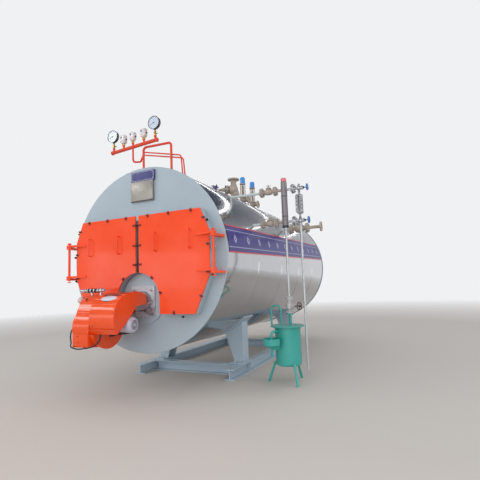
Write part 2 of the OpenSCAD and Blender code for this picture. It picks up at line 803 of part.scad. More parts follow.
module pressure_switches() {
    color([0.85, 0.80, 0.80]) for (t = switch_at) translate(header_at(t) + [0, 0, 60]) {
        turned([[0, 0], [13, 0], [13, 16], [26, 20], [26, 32], [0, 32]]);
        translate([0, 0, 30]) linear_extrude(16) chamfered(32, 28, 6);
        translate([0, 0, 45]) linear_extrude(56) chamfered(36, 31, 9);
        translate([0, 0, 100]) linear_extrude(4) chamfered(32, 27, 9);
        translate([0, 0, 103]) linear_extrude(17) chamfered(36, 31, 9);
    }
}

// Steam valve and safety valves
steam_back = 2468;
steam_rise = 487;
steam_y = plate_y + steam_back;
steam_low = axis_h + clad_r;
steam_top = steam_low + steam_rise;
bonnet_z = (steam_rise + 100) / 2;
bonnet_dir = unit([-150, -90, 0]);
bonnet_reach = 250;
steam_stem_d = 18;
steam_wheel_out = 300;
small_stem_d = 12;
stem_fit = 0.05;

module bolted_flange(d, pcd, bore, t, holes) {
    difference() {
        cylinder(d = d, h = t, $fn = 72);
        translate([0, 0, -1]) cylinder(d = bore, h = t + 2, $fn = 48);
        for (i = [0:holes - 1]) rotate([0, 0, (i + 0.5) * 360 / holes]) translate([pcd / 2, 0, -1])
            cylinder(d = bolt_hole, h = t + 2, $fn = 24);
    }
}

module steam_valve() {
    color(cast_grey) off_shell() translate([0, steam_y, steam_low]) difference() {
        union() {
            translate([0, 0, -20]) cylinder(d = steam_pipe_d, h = 84, $fn = 48);
            turned([[0, 58], [100, 58], [100, 78], [62, 78], [62, 82], [100, 82], [100, 102], [58, 108],
                [50, 130], [50, 200], [0, 200]]);
            translate([0, 0, bonnet_z - 74] - 24 * bonnet_dir) sphere(d = 152, $fn = 64);
            translate([0, 0, bonnet_z] + 14 * bonnet_dir) sphere(d = 186, $fn = 64);
            turned([[0, bonnet_z], [76, bonnet_z + 20], [58, bonnet_z + 72], [50, bonnet_z + 96],
                [50, steam_rise - 52], [60, steam_rise - 30], [60, steam_rise - 10], [0, steam_rise - 10]]);
            translate([0, 0, steam_rise - 22]) bolted_flange(steam_flange_d, steam_pcd, 80, 22, 8);
            along([0, 0, bonnet_z], bonnet_dir) turned([[0, 0], [56, 0], [56, 98], [78, 104], [78, 120],
                [56, 120], [56, 124], [78, 124], [78, 140], [46, 146], [38, 168], [32, 178], [32, 204],
                [24, 208], [24, bonnet_reach], [0, bonnet_reach]]);
        }
        translate([0, 0, bonnet_z + 60]) cylinder(d = 80, h = 300, $fn = 48);
        along([0, 0, bonnet_z] + (bonnet_reach - 29) * bonnet_dir, bonnet_dir)
            cylinder(r = steam_stem_d / 2 + stem_fit, h = 60, $fn = 32);
    }
}

module handwheel(d, rim, stem_d, stem_len) {
    spokes = 4;
    rotate_extrude($fn = 48) translate([d / 2 - rim, 0]) circle(rim, $fn = 20);
    cylinder(d = stem_d * 2.2, h = rim * 2.4, center = true, $fn = 32);
    for (i = [0:spokes - 1]) rotate([0, 90, i * 360 / spokes])
        cylinder(r = rim * 0.6, h = d / 2 - rim, $fn = 16);
    translate([0, 0, -stem_len]) cylinder(d = stem_d, h = stem_len, $fn = 32);
}

module steam_handwheel() {
    color(pipe_orange) along([0, steam_y, steam_low + bonnet_z] + steam_wheel_out * bonnet_dir, bonnet_dir)
        handwheel(200, 10, steam_stem_d, 75);
}

safety_back = [2870, 3336];
safety_rise = [619, 640];
cap_h = 122;
cap_r = 48;
yoke_r = 44;
coil = 20;

// Coils of a spring round its spindle, between two heights
module spring(low, high) {
    count = floor((high - low) / coil);
    turned(concat([[0, low]], [for (k = [0:count - 1]) for (q = [[17, 0], [25, 5], [25, 13], [17, 18]])
        [q[0], low + k * coil + q[1]]], [[17, low + count * coil], [0, low + count * coil]]));
}

module safety_valve(rise) {
    yoke_top = rise - cap_h - seat;
    turned([[0, -10], [30, -10], [30, 60], [75, 66], [75, 84], [44, 84], [44, 88], [75, 88], [75, 106],
        [38, 112], [36, 130], [46, 150], [58, 170], [60, 190], [54, 212], [64, 222], [64, 236], [30, 240],
        [26, 256], [0, 256]]);
    along([0, 0, 182], [1, 0, 0]) turned([[0, 0], [34, 0], [34, 84], [42, 98], [70, 100], [70, 118],
        [26, 118], [26, 110], [0, 110]]);
    cylinder(r = 10, h = yoke_top, $fn = 32);
    spring(255, yoke_top - 30);
    for (s = [-1, 1]) translate([s * yoke_r, 0, 230]) cylinder(r = 8, h = yoke_top - 232, $fn = 32);
    translate([0, 0, yoke_top - 14]) cylinder(r = yoke_r + 10, h = 14, $fn = 64);
}

module safety_valves() {
    color(cast_grey) off_shell() for (i = [0, 1]) on_plate(0, safety_back[i], clad_r)
        safety_valve(safety_rise[i]);
}

module safety_valve_caps() {
    color(wheel_blue) for (i = [0, 1]) on_plate(0, safety_back[i], clad_r + safety_rise[i] - cap_h)
        turned([[0, 0], [cap_r + 5, 0], [cap_r + 5, 14], [cap_r, 20], [cap_r, 94], [cap_r - 6, 110],
            [cap_r - 20, cap_h], [0, cap_h]]);
}

nozzle_y = 1184;
nozzle_lean = 16.3;
nozzle_d = 60;
nozzle_cap_d = 110;
nozzle_out = 48;

module top_nozzle() {
    color(sheet_blue) off_shell() on_plate(0, nozzle_y, 0) rotate([0, nozzle_lean, 0]) {
        translate([0, 0, clad_r - 10]) cylinder(d = nozzle_d, h = nozzle_out + 10, $fn = 40);
        translate([0, 0, clad_r + nozzle_out - 1]) turned([[0, 0], [nozzle_cap_d / 2, 0],
            [nozzle_cap_d / 2, 12], [nozzle_cap_d / 2 - 10, 19], [0, 20]]);
    }
}

// Level gauge
function level_pt(x, z) = [x, plate_y + level_y, axis_h + z];
function clad_x(z) = sqrt(pow(clad_r, 2) - pow(z, 2));

module small_flanges(x, z) {
    r = small_flange_d / 2;
    along(level_pt(x, z), [1, 0, 0]) turned([[0, -22], [26, -22], [30, -14], [r, -14], [r, -2], [r - 14, -2],
        [r - 14, 2], [r, 2], [r, 14], [30, 14], [26, 22], [0, 22]]);
}

module level_valve(x, z) {
    along(level_pt(x, z), [1, 0, 0]) turned([[0, -64], [23, -64], [23, -54], [30, -47], [37, -20], [39, 0],
        [37, 20], [30, 47], [23, 54], [23, 64], [0, 64]]);
    translate(level_pt(x, z)) turned([[0, 0], [25, 0], [25, 38], [34, 41], [34, 50], [20, 52], [18, 62],
        [11, 64], [11, 74], [7, 76], [7, 86], [0, 86]]);
}

module off_column() {
    difference() {
        children();
        translate(level_pt(column_x, 0)) cylinder(d = column_d + 2 * seat, h = 1100, $fn = 48);
    }
}

module level_run(z) {
    color(cast_grey) off_shell() off_column() {
        bar(level_pt(clad_x(z) - 20, z), level_pt(column_x, z), level_pipe_d / 2);
        small_flanges(isolating_x - 90, z);
        small_flanges(isolating_x + 86, z);
        level_valve(isolating_x, z);
    }
    color(silver) off_column() {
        bar(level_pt(column_x, z), level_pt(gauge_x, z), 14);
        small_flanges(gauge_x - 72, z);
        difference() {
            along(level_pt(gauge_x, z), [1, 0, 0]) turned([[0, 0], [20, 0], [20, 34], [25, 36], [25, 46],
                [18, 48], [18, 52], [0, 52]]);
            bar(level_pt(gauge_x + 33, z), level_pt(gauge_x + 60, z), small_stem_d / 2 + stem_fit);
        }
        translate(level_pt(gauge_x, z)) sphere(d = gauge_ball_d, $fn = 40);
    }
}

module level_pipe_upper() {
    level_run(level_hi);
    color(silver) translate(level_pt(gauge_x, level_hi)) turned([[0, 0], [20, 0], [20, 32], [16, 34], [9, 52],
        [0, 54]]);
}

module level_pipe_lower() {
    level_run(level_lo);
}

column_low = 335;
column_h = 573;
column_cap_h = 47;
gauge_ball_d = 58;
isolating_x = 1180;
glass_w = 88;
glass_h = 236;

module level_column() {
    r = column_d / 2;
    color(dark_grey) translate(level_pt(column_x, column_low)) turned([[0, 0], [r - 12, 0], [r - 3, 4],
        [r, 12], [r, column_h - 8], [r - 4, column_h], [0, column_h]]);
}

module column_cap() {
    r = column_d / 2 - 3;
    color([0.9, 0.5, 0.55]) translate(level_pt(column_x, column_low + column_h + seat)) turned([[0, 0],
        [r, 0], [r, column_cap_h - 12], [r - 8, column_cap_h - 2], [0, column_cap_h - seat]]);
}

module gauge_glass() {
    reach = gauge_ball_d / 2 + seat;
    low = 611 - glass_h / 2;
    high = 611 + glass_h / 2;
    color(silver) {
        difference() {
            translate(level_pt(gauge_x, 611)) rotate([90, 0, 0]) {
                translate([0, 0, -30]) linear_extrude(50) chamfered(34, glass_h / 2, 8);
                translate([0, 0, 14]) linear_extrude(16) chamfered(glass_w / 2, glass_h / 2 - 6, 12);
            }
            translate(level_pt(gauge_x, 611) - [0, 18, 0]) rotate([90, 0, 0]) linear_extrude(20) {
                square([16, glass_h - 62], center = true);
                for (e = [-1, 1]) translate([0, e * (glass_h / 2 - 31)]) circle(8, $fn = 32);
            }
        }
        translate(level_pt(gauge_x, level_lo + reach)) turned([[0, 0], [15, 0], [15, 20], [11, 22],
            [11, low - level_lo - reach + 6], [0, low - level_lo - reach + 6]]);
        translate(level_pt(gauge_x, high - 6)) turned([[0, 0], [11, 0], [11, level_hi - reach - high - 16],
            [15, level_hi - reach - high - 14], [15, level_hi - reach - high + 6],
            [0, level_hi - reach - high + 6]]);
    }
}

module gauge_handwheel(z) {
    color(wheel_blue) along(level_pt(gauge_x + 102, z), [1, 0, 0]) handwheel(wheel_d, 9, small_stem_d, 68);
}

module gauge_handwheel_upper() {
    gauge_handwheel(level_hi);
}

module gauge_handwheel_lower() {
    gauge_handwheel(level_lo);
}

module gauge_drain() {
    color(drain_grey) bar(level_pt(gauge_x, level_lo - gauge_ball_d / 2 - seat),
        [gauge_x, plate_y + level_y, 127], 13);
}

vessel_x = 1371;
vessel_y = plate_y + 862;
lid_z = drum_low + drum_h;
stack_top = lid_z + 334;
loop_top = lid_z + 244;
neck_top = lid_z + 146;
valve_z = lid_z + 227;
tundish_top = lid_z - 109;

module column_drain() {
    color(drain_grey) bar([column_x, plate_y + level_y, stack_top], level_pt(column_x, column_low), 14);
}

// Feed line
feed_back = 2244;
feed_up = 505;
feed_valve_x = 1200;

module feed_line() {
    y = plate_y + feed_back;
    z = axis_h + feed_up;
    r = feed_flange_d / 2;
    color(cast_grey) off_shell() difference() {
        union() {
            bar([clad_x(feed_up) - 20, y, z], [1540, y, z], feed_pipe_d / 2);
            for (x = [feed_valve_x - 128, feed_valve_x + 127]) along([x, y, z], [1, 0, 0]) turned([[0, -28],
                [30, -28], [36, -18], [r, -18], [r, -2], [r - 18, -2], [r - 18, 2], [r, 2], [r, 18], [36, 18],
                [30, 28], [0, 28]]);
            along([feed_valve_x, y, z], [1, 0, 0]) turned([[0, -102], [34, -102], [34, -80], [48, -64],
                [62, -30], [65, 0], [62, 30], [48, 64], [34, 80], [34, 102], [0, 102]]);
            translate([feed_valve_x, y, z]) turned([[0, 0], [40, 0], [40, 60], [54, 64], [54, 76], [48, 76],
                [48, 80], [54, 80], [54, 92], [30, 96], [26, 112], [16, 116], [0, 116]]);
            along([1530, y, z], [1, 0, 0]) bolted_flange(feed_flange_d, feed_pcd, 20, 18, 4);
        }
        bar([1400, y, z], [1560, y, z], 20);
    }
}

// Sampling vessel
module vessel_drum() {
    r = drum_d / 2;
    color(teal) translate([vessel_x, vessel_y, drum_low]) rotate_extrude($fn = 96) polygon([[0, 0],
        [r - 34, 0], [r - 14, 5], [r - 4, 14], [r, 28], [r, drum_h - 12], [r + 12, drum_h - 12],
        [r + 12, drum_h], [0, drum_h]]);
}

module vessel_lid() {
    color(teal) {
        translate([vessel_x, vessel_y, lid_z]) rotate_extrude($fn = 96) polygon([[0, 0], [lid_d / 2 - 2, 0],
            [lid_d / 2, 2], [lid_d / 2, lid_t - 2], [lid_d / 2 - 2, lid_t], [0, lid_t]]);
        translate([vessel_x, vessel_y - 30, 0]) bent_pipe([[-181, 0, lid_z + 6], [-181, 0, loop_top],
            [-63, 0, loop_top], [-63, 0, lid_z + 6]], 10, 58);
        translate([column_x, plate_y + level_y, lid_z + 6])
            cylinder(d = 34, h = neck_top - 20 - lid_z, $fn = 32);
        translate([column_x, plate_y + level_y, neck_top - 14]) cylinder(d = 92, h = 14, $fn = 48);
    }
}

module vessel_legs() {
    color(teal) for (a = [-52, 71, 190]) difference() {
        bar([vessel_x + 250 * cos(a), vessel_y + 250 * sin(a), -20],
            [vessel_x + (drum_d / 2 + 9) * cos(a), vessel_y + (drum_d / 2 + 9) * sin(a), drum_low + 40], 15);
        translate([vessel_x - 400, vessel_y - 400, -100]) cube([800, 800, 100]);
        translate([vessel_x, vessel_y, drum_low]) cylinder(d = drum_d, h = drum_h, $fn = 96);
    }
}

module vessel_tundish() {
    dir = [cos(-115), sin(-115), 0];
    c = [vessel_x, vessel_y, 0] + 272 * dir;
    top = tundish_top;
    color(teal) difference() {
        union() {
            translate([c[0], c[1], top]) rotate_extrude($fn = 64)
                polygon([[0, -96], [60, -96], [95, -70], [95, 0], [90, 0], [90, -66], [0, -66]]);
            translate([c[0], c[1], top - 207]) cylinder(r = 15, h = 120, $fn = 32);
            bent_pipe([[vessel_x, vessel_y, top + 70] + (drum_d / 2 - 3) * dir, [c[0], c[1], top + 70],
                [c[0], c[1], top - 80]], 14, 36);
            translate([c[0], c[1], top - 130]) rotate([0, 0, 65]) translate([0, -4, 0])
                cube([272 - drum_d / 2 + 1, 8, 44]);
        }
        translate([vessel_x, vessel_y, drum_low]) cylinder(d = drum_d, h = drum_h, $fn = 96);
    }
}

valve_dir = unit([0.94, -0.34, 0]);

module vessel_valve() {
    rise = stack_top - neck_top;
    mid = valve_z - neck_top;
    color(cast_grey) translate([column_x, plate_y + level_y, neck_top]) difference() {
        union() {
            turned([[0, 0], [46, 0], [46, 14], [26, 18], [23, mid - 50], [23, mid - 44], [31, mid - 36],
                [38, mid - 29], [38, mid + 29], [31, mid + 36], [23, mid + 44], [23, rise - 34],
                [46, rise - 30], [46, rise - 17], [34, rise - 17], [34, rise - 13], [46, rise - 13],
                [46, rise], [0, rise]]);
            along([0, 0, mid], valve_dir) turned([[0, 0], [26, 0], [26, 48], [33, 50], [33, 60], [20, 62],
                [20, 76], [0, 76]]);
        }
        along([0, 0, mid] + 40 * valve_dir, valve_dir) cylinder(r = small_stem_d / 2 + stem_fit, h = 60,
            $fn = 32);
    }
}

module vessel_handwheel() {
    p = [column_x, plate_y + level_y, valve_z];
    color(pipe_orange) along(p + 140 * valve_dir, valve_dir) handwheel(102, 7, small_stem_d, 90);
}

base_rails();
base_cross_beams();
saddle_front();
saddle_rear();
shell();
front_plate();
rear_plate();
rear_access_cover();
flue_outlet();
tube_plate();
furnace_mouth();
door_frame();
door_left();
door_right();
hinge_arms_left();
hinge_arms_right();
hinge_brackets();
burner_plate();
burner_flange();
burner_neck();
burner_hood();
burner_fan_casing();
burner_motor();
motor_bracket();
burner_gas_fittings();
burner_cable();
nameplate();
data_plate_box();
gauge_header();
header_pipework();
header_siphon();
impulse_tubes();
pressure_gauges();
gauge_cocks();
pressure_switches();
steam_valve();
steam_handwheel();
safety_valves();
safety_valve_caps();
top_nozzle();
level_pipe_upper();
level_pipe_lower();
level_column();
column_cap();
gauge_glass();
gauge_handwheel_upper();
gauge_handwheel_lower();
gauge_drain();
column_drain();
feed_line();
vessel_drum();
vessel_lid();
vessel_legs();
vessel_tundish();
vessel_valve();
vessel_handwheel();
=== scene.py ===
"""Looks of a horizontal fire-tube boiler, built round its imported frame.

Sizes are in millimetres from the middle of the front plate's outer face (right, back, up), and
Datum turns them into the frame's metres.
"""
from __future__ import annotations

import json
import logging
import math
from dataclasses import dataclass
from enum import Enum
from itertools import pairwise
from typing import Any, Callable, Iterable, Sequence

import bmesh
import bpy
from mathutils import Matrix, Vector

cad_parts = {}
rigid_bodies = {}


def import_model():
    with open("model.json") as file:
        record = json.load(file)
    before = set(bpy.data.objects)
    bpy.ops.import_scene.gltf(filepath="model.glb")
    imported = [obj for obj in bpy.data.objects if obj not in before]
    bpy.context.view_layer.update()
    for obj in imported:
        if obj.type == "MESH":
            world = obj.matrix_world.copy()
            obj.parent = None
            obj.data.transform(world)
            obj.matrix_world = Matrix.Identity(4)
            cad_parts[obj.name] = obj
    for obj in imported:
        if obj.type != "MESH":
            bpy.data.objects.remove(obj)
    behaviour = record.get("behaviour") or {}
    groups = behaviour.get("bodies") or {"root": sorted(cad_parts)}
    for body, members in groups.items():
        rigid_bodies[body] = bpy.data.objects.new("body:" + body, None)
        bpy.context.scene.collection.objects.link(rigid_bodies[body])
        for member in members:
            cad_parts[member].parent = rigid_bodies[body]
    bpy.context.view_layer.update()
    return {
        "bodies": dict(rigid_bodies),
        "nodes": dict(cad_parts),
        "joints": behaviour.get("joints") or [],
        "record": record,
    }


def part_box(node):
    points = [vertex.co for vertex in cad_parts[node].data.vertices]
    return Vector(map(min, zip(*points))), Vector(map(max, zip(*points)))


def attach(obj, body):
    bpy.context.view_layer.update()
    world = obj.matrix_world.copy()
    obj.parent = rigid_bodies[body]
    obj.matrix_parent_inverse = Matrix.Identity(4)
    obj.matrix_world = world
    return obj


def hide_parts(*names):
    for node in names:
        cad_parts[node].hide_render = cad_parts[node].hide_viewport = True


LOG = logging.getLogger("boiler")
MM = 0.001

RGB = tuple[float, float, float]
Flat = tuple[float, float]
Point = tuple[float, float, float]
Sides = tuple[float, float, float, float]

RIGHT: Point = (1, 0, 0)
LEFT: Point = (-1, 0, 0)
REAR: Point = (0, 1, 0)
FRONT: Point = (0, -1, 0)
UP: Point = (0, 0, 1)
DOWN: Point = (0, 0, -1)


class Body(str, Enum):
    """The bodies that the new pieces ride on."""

    BOILER = "boiler"
    LEFT_DOOR = "left_door"
    RIGHT_DOOR = "right_door"
    STEAM_WHEEL = "steam_wheel"
    SAMPLING_WHEEL = "sampling_wheel"


class Slot(str, Enum):
    """The record's material slots."""

    BASE = "base_paint"
    PLATE = "plate_paint"
    CLADDING = "polished_cladding"
    SOOT = "sooty_steel"
    DOOR = "door_paint"
    BURNER = "burner_paint"
    BRIGHT = "bright_metal"
    ALUMINIUM = "cast_aluminium"
    MOTOR = "motor_paint"
    RUBBER = "cable_rubber"
    BRACKET = "bracket_black"
    BRASS = "brass"
    CAP_BLUE = "cap_blue"
    CAP_PINK = "cap_pink"
    ENAMEL = "blue_enamel"
    SHEET = "brushed_sheet"
    PIPE = "pipe_paint"
    GAUGE_CASE = "gauge_case"
    SWITCH = "switch_plastic"
    CAST_IRON = "cast_iron"
    WHEEL_RED = "wheel_red"
    WHEEL_BLUE = "wheel_blue"
    COLUMN = "column_paint"
    PIPE_STEEL = "pipe_steel"
    VESSEL = "vessel_paint"


def srgb(red: int, green: int, blue: int) -> RGB:
    """Turns a colour as the eye reads it, 0 to 255, into the renderer's linear values."""
    return tuple(math.pow((c / 255 + 0.055) / 1.055, 2.4) for c in (red, green, blue))


class Socket:
    """A shader value or link that takes part in Python expressions."""

    def __init__(self, graph: "Graph", link: Any) -> None:
        """Wraps a node's output socket."""
        self.graph = graph
        self.link = link

    def _math(self, operation: str, *values: Any, clamp: bool = False) -> "Socket":
        """Adds one Math node.

        Args:
            operation: the Math node's operation.
            values: its inputs, sockets or numbers.
            clamp: whether the result stays from 0 to 1.

        Returns:
            The node's result.
        """
        settings = {"operation": operation, "use_clamp": clamp}
        return self.graph.add("ShaderNodeMath", settings, dict(enumerate(values)))

    def __add__(self, other: Any) -> "Socket":
        """Adds."""
        return self._math("ADD", self, other)

    __radd__ = __add__

    def __mul__(self, other: Any) -> "Socket":
        """Multiplies."""
        return self._math("MULTIPLY", self, other)

    __rmul__ = __mul__

    def __sub__(self, other: Any) -> "Socket":
        """Takes the other away."""
        return self._math("SUBTRACT", self, other)

    def __rsub__(self, other: Any) -> "Socket":
        """Is taken away from the other."""
        return self._math("SUBTRACT", other, self)

    def __truediv__(self, other: Any) -> "Socket":
        """Divides."""
        return self._math("DIVIDE", self, other)

    def __gt__(self, other: Any) -> "Socket":
        """Gives 1 where it is greater."""
        return self._math("GREATER_THAN", self, other)

    def __lt__(self, other: Any) -> "Socket":
        """Gives 1 where it is less."""
        return self._math("LESS_THAN", self, other)

    def __abs__(self) -> "Socket":
        """Drops the sign."""
        return self._math("ABSOLUTE", self)

    def fract(self) -> "Socket":
        """Gives the part after the point."""
        return self._math("FRACT", self)

    def root(self) -> "Socket":
        """Gives the square root."""
        return self._math("SQRT", self)

    def between(self, low: float, high: float) -> "Socket":
        """Rises evenly from 0 at low to 1 at high, which may be the lower of the two."""
        return self._math("DIVIDE", self - low, high - low, clamp=True)


class Graph:
    """The node tree of one material, or of the world."""

    def __init__(self, tree: bpy.types.NodeTree) -> None:
        """Empties a node tree and works on it."""
        self.tree = tree
        self.tree.nodes.clear()

    def add(
        self,
        kind: str,
        settings: dict[str, Any] | None = None,
        inputs: dict[Any, Any] | None = None,
        output: Any = 0,
    ) -> Socket:
        """Adds a node.

        Args:
            kind: the node's type.
            settings: its own settings, set before its sockets.
            inputs: values or links by input name or number.
            output: name or number of the output that is returned.

        Returns:
            That output.
        """
        node = self.tree.nodes.new(kind)
        for key, value in (settings or {}).items():
            setattr(node, key, value)
        for key, value in (inputs or {}).items():
            if isinstance(value, Socket):
                self.tree.links.new(value.link, node.inputs[key])
            else:
                node.inputs[key].default_value = value
        return Socket(self, node.outputs[output])

    def place(self) -> Socket:
        """Gives Object coordinates, in metres."""
        return self.add("ShaderNodeTexCoord", output="Object")

    def facing(self) -> Socket:
        """Gives how far the surface looks up, from -1 to 1."""
        return self.axis(self.add("ShaderNodeNewGeometry", output="Normal"), "Z")

    def axis(self, vector: Socket, which: str) -> Socket:
        """Gives one axis of a vector, X, Y or Z."""
        return self.add("ShaderNodeSeparateXYZ", inputs={0: vector}, output=which)

    def noise(self, vector: Socket, scale: float, detail: float = 3, rough: float = 0.5) -> Socket:
        """Gives a noise from 0 to 1 with about that many patches to the metre."""
        values = {"Vector": vector, "Scale": scale, "Detail": detail, "Roughness": rough}
        return self.add("ShaderNodeTexNoise", inputs=values, output="Fac")

    def stretched(self, vector: Socket, factors: Point) -> Socket:
        """Scales coordinates by axis."""
        return self.add("ShaderNodeMapping", inputs={"Vector": vector, "Scale": factors})

    def mix(self, share: Any, first: Any, second: Any) -> Socket:
        """Mixes two colours.

        Args:
            share: how much of the second.
            first: colour or link at 0.
            second: colour or link at 1.

        Returns:
            The mixed colour.
        """
        pair = [c if isinstance(c, Socket) else (*c, 1) for c in (first, second)]
        values = {0: share, 6: pair[0], 7: pair[1]}
        return self.add("ShaderNodeMix", {"data_type": "RGBA"}, values, output=2)

    def bump(self, height: Socket, distance: float) -> Socket:
        """Turns a height into a normal, with its full swing in metres."""
        return self.add("ShaderNodeBump", inputs={"Height": height, "Distance": distance})

    def close(self, shader: Socket, kind: str = "ShaderNodeOutputMaterial") -> None:
        """Joins a shader to the tree's output."""
        output = self.tree.nodes.new(kind)
        self.tree.links.new(shader.link, output.inputs["Surface"])

    def surface(self, **values: Any) -> None:
        """Closes the tree with the surface shader.

        Args:
            values: the shader's inputs, with _ for a space in the name.
        """
        inputs = {key.replace("_", " "): value for key, value in values.items()}
        self.close(self.add("ShaderNodeBsdfPrincipled", inputs=inputs))


def new_material(name: str, paint: Callable[[Graph], None]) -> bpy.types.Material:
    """Makes a material and has its nodes laid.

    Args:
        name: its name.
        paint: what lays its nodes.

    Returns:
        The material.
    """
    material = bpy.data.materials.new(name)
    material.use_nodes = True
    paint(Graph(material.node_tree))
    return material


DUST = srgb(150, 142, 132)


@dataclass(frozen=True)
class Paint:
    """A painted, enamelled or moulded surface that has faded a little and gathered dust."""

    name: str
    color: RGB
    roughness: float = 0.36
    coat: float = 0.3
    peel: float = 0.00015
    drift: float = 0.10
    dust: float = 0.22
    coat_roughness: float = 0.08
    sheen: float = 0.5

    def paint(self, g: Graph) -> None:
        """Lays broad fading, orange peel, dust on what looks up.

        Args:
            g: the material's node tree.
        """
        place = g.place()
        broad = g.noise(place, 1.7, 4, 0.6)
        deep = tuple(c * (1 - self.drift) for c in self.color)
        pale = tuple(c + (1 - c) * self.drift * 0.3 for c in self.color)
        settled = g.facing().between(0.3, 1.0) * g.noise(place, 14, 5, 0.65).between(0.3, 0.8) * self.dust
        color = g.mix(settled, g.mix(broad.between(0.3, 0.7), deep, pale), DUST)
        rough = broad * 0.10 + settled * 0.5 + (self.roughness - 0.05)
        peel = g.bump(g.noise(place, 160, 2), self.peel)
        g.surface(
            Base_Color=color, Roughness=rough, Normal=peel, Coat_Weight=self.coat,
            Coat_Roughness=self.coat_roughness, Specular_IOR_Level=self.sheen,
        )


@dataclass(frozen=True)
class PolishedSheet:
    """Mirror-polished sheet that is a little wavy, with wiped smears."""

    name: str
    color: RGB
    roughness: float = 0.06
    swell: float = 0.008

    def paint(self, g: Graph) -> None:
        """Lays long swells in the sheet and smears across it.

        Args:
            g: the material's node tree.
        """
        place = g.place()
        swell = g.noise(g.stretched(place, (1.0, 0.45, 1.0)), 1.5, 1.5, 0.4)
        smears = g.noise(g.stretched(place, (1.0, 4.0, 1.0)), 2.4, 5, 0.62)
        color = g.mix(smears.between(0.35, 0.75), tuple(c * 0.93 for c in self.color), self.color)
        rough = smears * 0.07 + self.roughness
        g.surface(
            Base_Color=color, Roughness=rough, Metallic=1.0, Normal=g.bump(swell, self.swell)
        )


@dataclass(frozen=True)
class RawMetal:
    """Bare, brushed, cast or plated metal."""

    name: str
    color: RGB
    roughness: float = 0.38
    metallic: float = 1.0
    grain: float = 0.00012
    grain_scale: float = 210
    stain: float = 0.22
    stain_color: RGB = srgb(96, 84, 70)

    def paint(self, g: Graph) -> None:
        """Lays grain in the surface and dull stains over it.

        Args:
            g: the material's node tree.
        """
        place = g.place()
        blotch = g.noise(place, 17, 6, 0.68).between(0.42, 0.74)
        color = g.mix(blotch * self.stain, self.color, self.stain_color)
        rough = blotch * 0.22 + self.roughness
        grain = g.bump(g.noise(place, self.grain_scale, 4, 0.6), self.grain)
        metallic = 1 - blotch * self.stain * 0.5
        if self.metallic < 1:
            metallic = metallic * self.metallic
        g.surface(Base_Color=color, Roughness=rough, Metallic=metallic, Normal=grain)


@dataclass(frozen=True)
class PipeRun:
    """A pipe run that is painted near the shell, bare cast metal along its valves, bright after."""

    name: str
    painted: RGB
    cast: RGB
    bright: RGB
    cast_from: float
    bright_from: float
    grain: float = 0.0005

    def paint(self, g: Graph) -> None:
        """Lays the three stretches by how far right of the middle of the boiler they are, in metres.

        Args:
            g: the material's node tree.
        """
        place = g.place()
        right = g.axis(place, "X")
        rough_part = (right > self.cast_from) * 1.0
        bright_part = (right > self.bright_from) * 1.0
        blotch = g.noise(place, 19, 6, 0.68).between(0.42, 0.74)
        base = g.mix(bright_part, g.mix(rough_part, self.painted, self.cast), self.bright)
        color = g.mix(blotch * 0.4 * rough_part, base, srgb(112, 98, 84))
        rough = blotch * 0.2 + rough_part * 0.22 - bright_part * 0.22 + 0.34
        grain = g.bump(g.noise(place, 190, 4, 0.6) * rough_part, self.grain)
        metallic = bright_part * 0.85 + 0.1
        g.surface(Base_Color=color, Roughness=rough, Metallic=metallic, Normal=grain)


@dataclass(frozen=True)
class BrushedPlate:
    """A brushed sheet plate with fine ruled rows etched in it."""

    name: str
    color: RGB
    row_pitch: float = 0.0145
    line_share: float = 0.16

    def paint(self, g: Graph) -> None:
        """Lays brush marks and broken etched rows.

        Args:
            g: the material's node tree.
        """
        place = g.place()
        brushed = g.noise(g.stretched(place, (2.0, 1.0, 60.0)), 18, 4, 0.7)
        rows = (g.axis(place, "Z") / self.row_pitch).fract() < self.line_share
        broken = g.noise(g.stretched(place, (26.0, 1.0, 1.0)), 1.0, 2) > 0.44
        etched = rows * broken
        color = g.mix(etched * 0.35, g.mix(brushed, tuple(c * 0.82 for c in self.color), self.color), DUST)
        rough = brushed * 0.16 + 0.30
        g.surface(
            Base_Color=color, Roughness=rough, Metallic=0.85, Normal=g.bump(brushed - etched, 0.0002)
        )


@dataclass(frozen=True)
class BandPrint:
    """The printed band along the cladding: red borders and a row of diamonds on a dark field."""

    name: str
    field_color: RGB
    border: RGB
    mark: RGB
    mark_pitch: float = 0.36

    def paint(self, g: Graph) -> None:
        """Lays the print from the band's own UV map, along in metres and across from 0 to 1.

        Args:
            g: the material's node tree.
        """
        uv = g.add("ShaderNodeTexCoord", output="UV")
        along = g.axis(uv, "X")
        across = g.axis(uv, "Y")
        off_middle = abs(across - 0.5)
        from_mark = abs((along / self.mark_pitch).fract() - 0.5)
        reach = from_mark * 1.6 + off_middle
        diamonds = reach < 0.17
        hearts = reach < 0.07
        bars = diamonds * (1 - hearts)
        thread = (abs(off_middle - 0.30) < 0.016) * 1.0
        borders = off_middle > 0.455
        faded = g.noise(g.place(), 2.2, 4).between(0.3, 0.7)
        base = g.mix(faded * 0.35, self.field_color, tuple(c * 0.6 for c in self.field_color))
        marked = g.mix(bars * 0.7 + thread * 0.55, base, self.mark)
        color = g.mix(borders, marked, self.border)
        g.surface(Base_Color=color, Roughness=0.38, Coat_Weight=0.15, Coat_Roughness=0.15)


